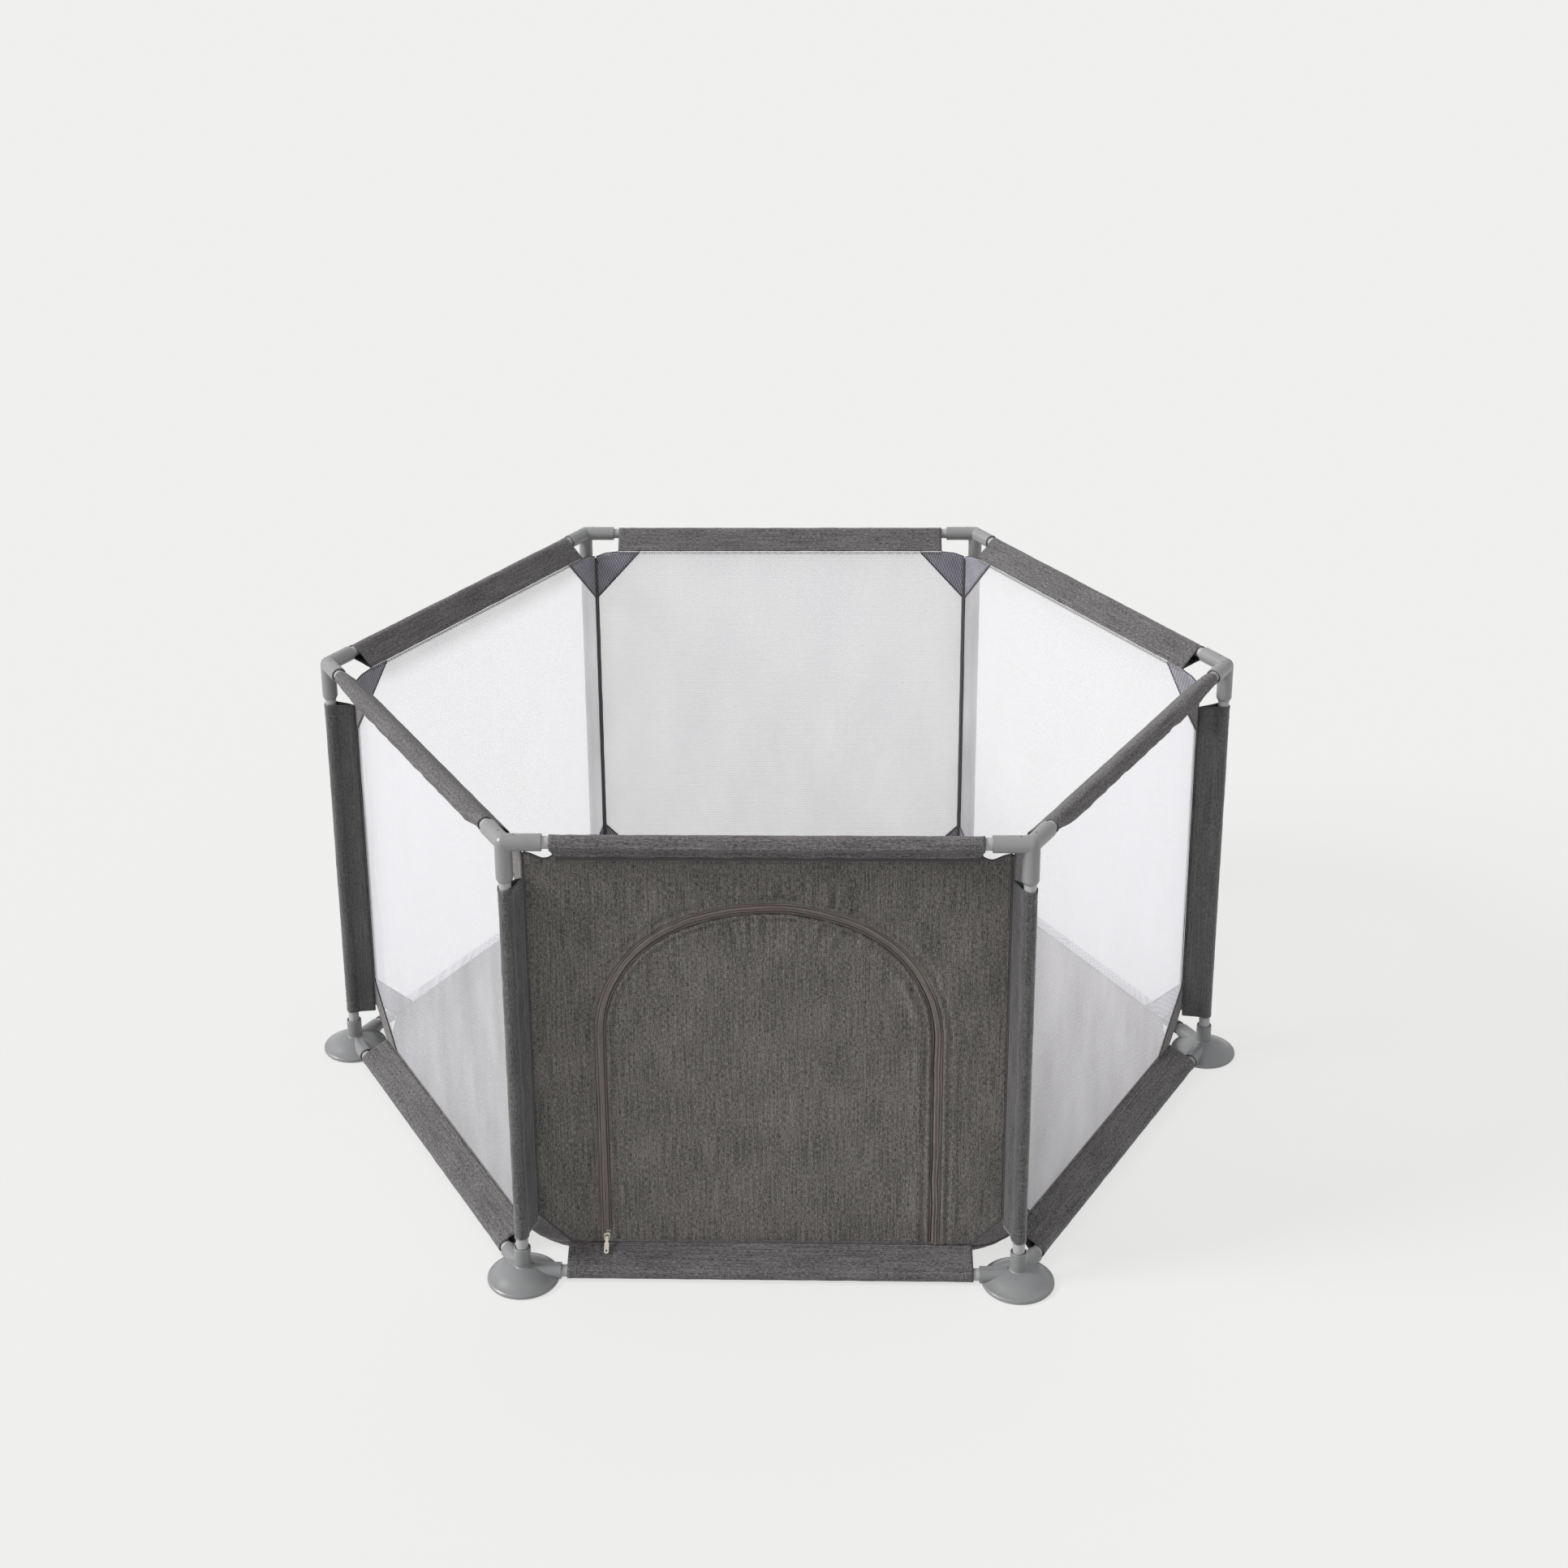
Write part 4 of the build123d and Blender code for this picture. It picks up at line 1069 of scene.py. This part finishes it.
def post_sleeve(name, seed, rows=120, half=26):
    azimuth = CORNERS[name]
    grid, uvs = [], []
    for v in np.linspace(0, 1, rows):
        nominal = POST_SLEEVE_BOTTOM + v * (POST_SLEEVE_TOP - POST_SLEEVE_BOTTOM)
        open_top = np.exp(-((POST_SLEEVE_TOP - nominal) / 26))
        open_low = np.exp(-((nominal - POST_SLEEVE_BOTTOM) / 18))
        row, uv = [], []
        for side in (1, -1):
            loose = 0.30 * wander(nominal / 70, side * 3, seed)
            pinch = max(0.0, min(1.0, 0.80 + loose - 0.72 * open_top - 0.35 * open_low))
            points = half_section(pinch, half, TUBE + 1.0)
            points = points if side > 0 else points[::-1][1:]
            for x, y in points:
                rise = TOP_DROP * x / -FIN_INNER if x < 0 else -FRONT_DROP * (x / TUBE) ** 2
                top = POST_SLEEVE_TOP + rise
                up = POST_SLEEVE_BOTTOM + v * (top - POST_SLEEVE_BOTTOM)
                row.append((x, side * y, up))
                uv.append((side * (x - 10), up + seed * 13))
        grid.append(row)
        uvs.append(uv)
    grid, uvs = np.array(grid), np.array(uvs)
    normal = normals_of(grid)
    normal *= np.sign((normal[:, :, 1] * grid[:, :, 1]).mean())
    x, up = grid[:, :, 0], grid[:, :, 2]
    fin = np.clip(-x / 12, 0, 1)
    slant = up - 0.9 * x
    wrinkles = 1.9 * noise_grid(slant / 26, x / 16 + 40 * np.sign(grid[:, :, 1]), seed + 1)
    small = 0.35 * noise_grid(slant / 8, x / 10 + 40 * np.sign(grid[:, :, 1]), seed + 2)
    hem = 0.5 * bell(POST_SLEEVE_TOP - up, 3, 2.5) + 0.5 * bell(up - POST_SLEEVE_BOTTOM, 3, 2.5)
    lift = np.maximum(wrinkles * (0.25 + 0.75 * fin), -0.1) + np.maximum(small, -0.1) + hem
    grid += normal * (lift * np.clip((x - FIN_INNER) / 5, 0, 1))[:, :, None]
    made = Cloth()
    made.grid(turn(grid, azimuth, CORNER_RADIUS), uvs)
    piece = made.piece("post_sleeve_cloth_" + name, post_cloth, "heather_cloth", thickness=0.9, offset=0,
                       stands_for=["post_sleeve_" + name])
    sewing = Cloth()
    lines = [(row, dict(pitch=3.4, length=2.3)) for row in (4, -5)]
    lines += [((slice(None), column), dict(pitch=3.6, length=2.5)) for column in (4, -5)]
    for where, settings in lines:
        path = turn(grid[where] + normal[where] * STITCH_LIFT, azimuth, CORNER_RADIUS)
        stitches(sewing, path, turn(normal[where], azimuth, 0), radius=0.28, skip=3, **settings)
    section = lengths(grid[60])[-1]
    return piece, sewing.piece("post_sleeve_stitches_" + name, grey_stitch, "heather_cloth"), section


def corner_seam(name, seed):
    """Folded seam tape up an inside corner: a raised middle between two flat edges, with its stitches."""
    azimuth = CORNERS[name]
    profile = ((-3.2, -0.3), (-3.1, 0.6), (-2.2, 0.8), (-1.2, 1.3), (0.0, 1.5), (1.2, 1.3), (2.2, 0.8),
               (3.1, 0.6), (3.2, -0.3))
    rows = []
    heights = np.linspace(SEAM_BOTTOM - 1, SEAM_TOP + 1, 150)
    for up in heights:
        waver = 0.5 * wander(up / 30, 0, seed)
        swell = 1 + 0.18 * wander(up / 6, 4, seed)
        rows.append([(SEAM_RADIUS - CORNER_RADIUS - 0.2 + depth * swell, across * 1.05 + waver, up)
                     for across, depth in profile])
    made = Cloth()
    grid = np.array(rows)
    outside = grid * np.array((1.0, 0.5, 1.0))
    made.grid(turn(outside, azimuth, CORNER_RADIUS), [[(a, up) for a, _ in profile] for up in heights])
    inside = grid.copy()
    inside[:, :, 0] = 2 * (SEAM_RADIUS - CORNER_RADIUS - 1.2) - inside[:, :, 0]
    made.grid(turn(inside, azimuth, CORNER_RADIUS), [[(a + 20, up) for a, _ in profile] for up in heights])
    tape = made.piece("corner_seam_" + name, binding_and_painted_shade, "heather_cloth", thickness=0.5, offset=0,
                      stands_for=["corner_seams"])
    sewing = Cloth()
    facing = wall_direction(azimuth)
    for across, lift, way in ((0, 1.5, 1), (-2.1, -3.4, -1), (2.1, -3.4, -1), (0, -4.2, -1)):
        path = [(SEAM_RADIUS - CORNER_RADIUS + lift, across, up) for up in heights[2:-2]]
        stitches(sewing, turn(path, azimuth, CORNER_RADIUS), way * facing, pitch=3.6, length=2.4,
                 radius=0.3)
    return tape, sewing.piece("corner_seam_stitches_" + name, grey_stitch, "heather_cloth")


posts = {name: post_sleeve(name, 130.0 + 9 * i) for i, name in enumerate(CORNERS)}
seams = {name: corner_seam(name, 190.0 + 9 * i) for i, name in enumerate(CORNERS)}

# ---------------------------------------------------------------- floor sheet

FLOOR_THICKNESS = 1.2
FLOOR_LIFT = 1.0
EDGE_RISE = 46.0


def floor_edge(count):
    """Outline of the sheet with the seam's height at each point: six sewn edges, six free corner edges."""
    half = PANEL_HALF - CORNER_CUT
    made = []
    order = sorted(SIDES.items(), key=lambda side: side[1])
    for name, azimuth in order:
        for along in np.linspace(-half, half, count):
            lift = 3 * cos(along / half * pi / 2) if name in ("left_back", "right_back") else 0.0
            point = turn((PANEL_OUT - 0.8, along, PANEL_BOTTOM - 2 + lift), azimuth, APOTHEM)
            made.append(point)
        start = turn((PANEL_OUT - 0.8, half, PANEL_BOTTOM - 2), azimuth, APOTHEM)
        end = turn((PANEL_OUT - 0.8, -half, PANEL_BOTTOM - 2), azimuth + 60, APOTHEM)
        for share in np.linspace(0, 1, 14)[1:-1]:
            sag = 4 * share * (1 - share)
            made.append(start + (end - start) * share - np.array((0, 0, 9 * sag)))
    return np.array(made)


def floor_sheet():
    edge = floor_edge(74)
    reach = np.hypot(edge[:, 0], edge[:, 1])
    gap = np.concatenate([np.linspace(0, 0.86, 46), np.linspace(0.87, 1, 20)])
    grid, uvs = [], []
    for share in gap:
        flat = edge[:, :2] * max(share, 0.004)
        inward = reach * (1 - share)
        rise = np.exp(-inward / EDGE_RISE * 2.6)
        up = FLOOR_LIFT + 0.8 + (edge[:, 2] - FLOOR_LIFT - 0.8) * rise ** 1.15
        grid.append(np.column_stack([flat, up]))
        uvs.append(flat)
    grid = np.array(grid)
    calm = np.clip((reach[None, :] - np.hypot(grid[:, :, 0], grid[:, :, 1])) / 60, 0, 1)
    wave = noise_grid(grid[:, :, 0] / 120, grid[:, :, 1] / 120, 2.5) + 0.5 * noise_grid(
        grid[:, :, 0] / 45, grid[:, :, 1] / 45, 9.5)
    grid[:, :, 2] += np.maximum(0, 2.6 * wave) * (0.3 + 0.7 * calm)
    pucker = noise_grid(np.arctan2(grid[:, :, 1], grid[:, :, 0]) * 60, grid[:, :, 2] / 90, 4.5)
    grid[:, :, 2] += 1.2 * pucker * (1 - calm)
    made = Cloth()
    made.grid(grid, uvs, ring=True)
    made.faces.append(tuple(range(grid.shape[1]))[::-1])
    piece = made.piece("floor_sheet", floor_heather, "heather_cloth", thickness=FLOOR_THICKNESS, offset=0,
                       stands_for=["floor_cloth"])
    hem = Cloth()
    closed = np.vstack([edge, edge[:1]])
    tube_along(hem, closed, 1.3, 8, flat=0.8)
    return piece, hem.piece("floor_sheet_hem", binding_and_painted_shade, "heather_cloth")


floor_piece, floor_hem = floor_sheet()

# ---------------------------------------------------------------- front panel's bindings, stitches and a painted shade strip

front_binding, front_sewing = Cloth(), Cloth()


def front_point(along, up, lift):
    along, up = np.asarray(along, float), np.asarray(up, float)
    flat_along, flat_up = np.atleast_1d(along), np.atleast_1d(up)
    out = PANEL_OUT + FRONT_LIFT + lift + front_sag(flat_along, flat_up)
    return turn(np.column_stack([out, flat_along, flat_up]), SIDES["front"], APOTHEM)


for side in (-1, 1):
    corner = even([p for p in FRONT_CORNER[1:]], 40)[0]
    tube_along(front_binding, front_point(side * corner[:, 0], corner[:, 1], 0.1), 1.2, 8, out=FRONT_OUT)
    along, up = straight((side * (PANEL_HALF - CORNER_CUT), PANEL_BOTTOM),
                         (side * PANEL_HALF, SEAM_BOTTOM), 24)
    tube_along(front_binding, front_point(along, up, 0.1), 1.4, 8, out=FRONT_OUT)
    inset = front_point(along - side * 4, up + 4, 0.9)
    stitches(front_sewing, inset, FRONT_OUT, pitch=3.4, length=2.4, radius=0.3)
zigzag_line = np.linspace(-TOP_SLEEVE_HALF + 4, TOP_SLEEVE_HALF - 4, 250)
# A dark strip just under the front sleeve's lip is painted shade: it stands for the lip's shadow on the
# panel, drawn in the binding's material.
shade_strip_rows = [np.column_stack([front_point(zigzag_line, np.full(250, up), lift)])
        for up, lift in ((609.0, 0.7), (606.0, 1.5), (602.5, 1.7), (599.6, 1.5), (599.0, 0.4))]
front_shade_strip = Cloth()
front_shade_strip.grid(np.array(shade_strip_rows), [[(up, a) for a in zigzag_line] for up in range(len(shade_strip_rows))])
swing = 595.5 + 1.6 * np.where(np.arange(250) % 2, 1, -1)
tube_along(front_sewing, front_point(zigzag_line, swing, 0.9), 0.32, 5, out=FRONT_OUT)
bottom_line = np.linspace(-BOTTOM_SLEEVE_HALF + 6, BOTTOM_SLEEVE_HALF - 6, 200)
bottom_path = front_point(bottom_line, np.full(200, PANEL_BOTTOM + 4.0), 1.0)
stitches(front_sewing, bottom_path, FRONT_OUT, pitch=3.4,
         length=2.4, radius=0.3)
# The strip under the lip is painted shade, not a real tape.
front_shade_strip_piece = front_shade_strip.piece("front_painted_shade_strip", binding_and_painted_shade, "heather_cloth", thickness=0.4)
front_edges = front_binding.piece("front_bindings", binding_and_painted_shade, "heather_cloth")
front_stitches = front_sewing.piece("front_stitches", grey_stitch, "heather_cloth")

# ---------------------------------------------------------------- floor, light and camera

mesh = bpy.data.meshes.new("studio_floor")
FLOOR_SIZE = 60.0
mesh.from_pydata([(x, y, 0.0) for x, y in ((-FLOOR_SIZE, -FLOOR_SIZE), (FLOOR_SIZE, -FLOOR_SIZE),
                                           (FLOOR_SIZE, FLOOR_SIZE), (-FLOOR_SIZE, FLOOR_SIZE))], [],
                 [(0, 1, 2, 3)])
studio_floor = bpy.data.objects.new("studio_floor", mesh)
bpy.context.scene.collection.objects.link(studio_floor)
paper = Shader("studio_paper", Roughness=0.9, Specular_IOR_Level=0.0, Emission_Strength=0.685)
paper.surface.inputs["Base Color"].default_value = (0.12, 0.12, 0.119, 1)
paper.surface.inputs["Emission Color"].default_value = (1.0, 1.0, 0.984, 1)
mesh.materials.append(paper.material)

world = bpy.data.worlds.new("studio")
world.use_nodes = True
world.node_tree.nodes["Background"].inputs["Color"].default_value = (1.0, 1.0, 1.0, 1)
world.node_tree.nodes["Background"].inputs["Strength"].default_value = 0.865
scene = bpy.context.scene
scene.world = world

KEY_AZIMUTH, KEY_ELEVATION, KEY_SPREAD = 191.0, 34.0, 24.0
lamp = bpy.data.lights.new("key", "SUN")
lamp.energy = 3.8
lamp.angle = radians(KEY_SPREAD)
lamp.color = (1.0, 0.99, 0.975)
key = bpy.data.objects.new("key", lamp)
key.rotation_mode = "QUATERNION"
key_level, key_rise = cos(radians(KEY_ELEVATION)), sin(radians(KEY_ELEVATION))
toward_key = wall_direction(KEY_AZIMUTH) * key_level + np.array((0, 0, key_rise))
key.rotation_quaternion = Vector(-toward_key).to_track_quat("-Z", "Y")
scene.collection.objects.link(key)

scene.view_settings.view_transform = "Standard"
scene.view_settings.look = "None"
scene.view_settings.exposure = 0.0
scene.view_settings.gamma = 1.0

CAMERA_PLACE = (0.06367, -3.2312, 2.0023)
CAMERA_PITCH, CAMERA_YAW, CAMERA_ROLL = 0.338, -0.035, -0.012
forward = Vector((sin(CAMERA_YAW) * cos(CAMERA_PITCH), cos(CAMERA_YAW) * cos(CAMERA_PITCH),
                  -sin(CAMERA_PITCH)))
level = Vector((cos(CAMERA_YAW), -sin(CAMERA_YAW), 0.0))
upright = level.cross(forward)
right_hand = cos(CAMERA_ROLL) * level + sin(CAMERA_ROLL) * upright
above = -sin(CAMERA_ROLL) * level + cos(CAMERA_ROLL) * upright
lens = bpy.data.cameras.new("camera")
lens.sensor_width = 36.0
lens.lens = 55.50
lens.shift_x, lens.shift_y = 0.0292, -0.1698
lens.clip_end = 200.0
camera = bpy.data.objects.new("camera", lens)
camera.matrix_world = Matrix.Translation(CAMERA_PLACE) @ Matrix(
    (right_hand, above, -forward)).transposed().to_4x4()
scene.collection.objects.link(camera)
scene.camera = camera
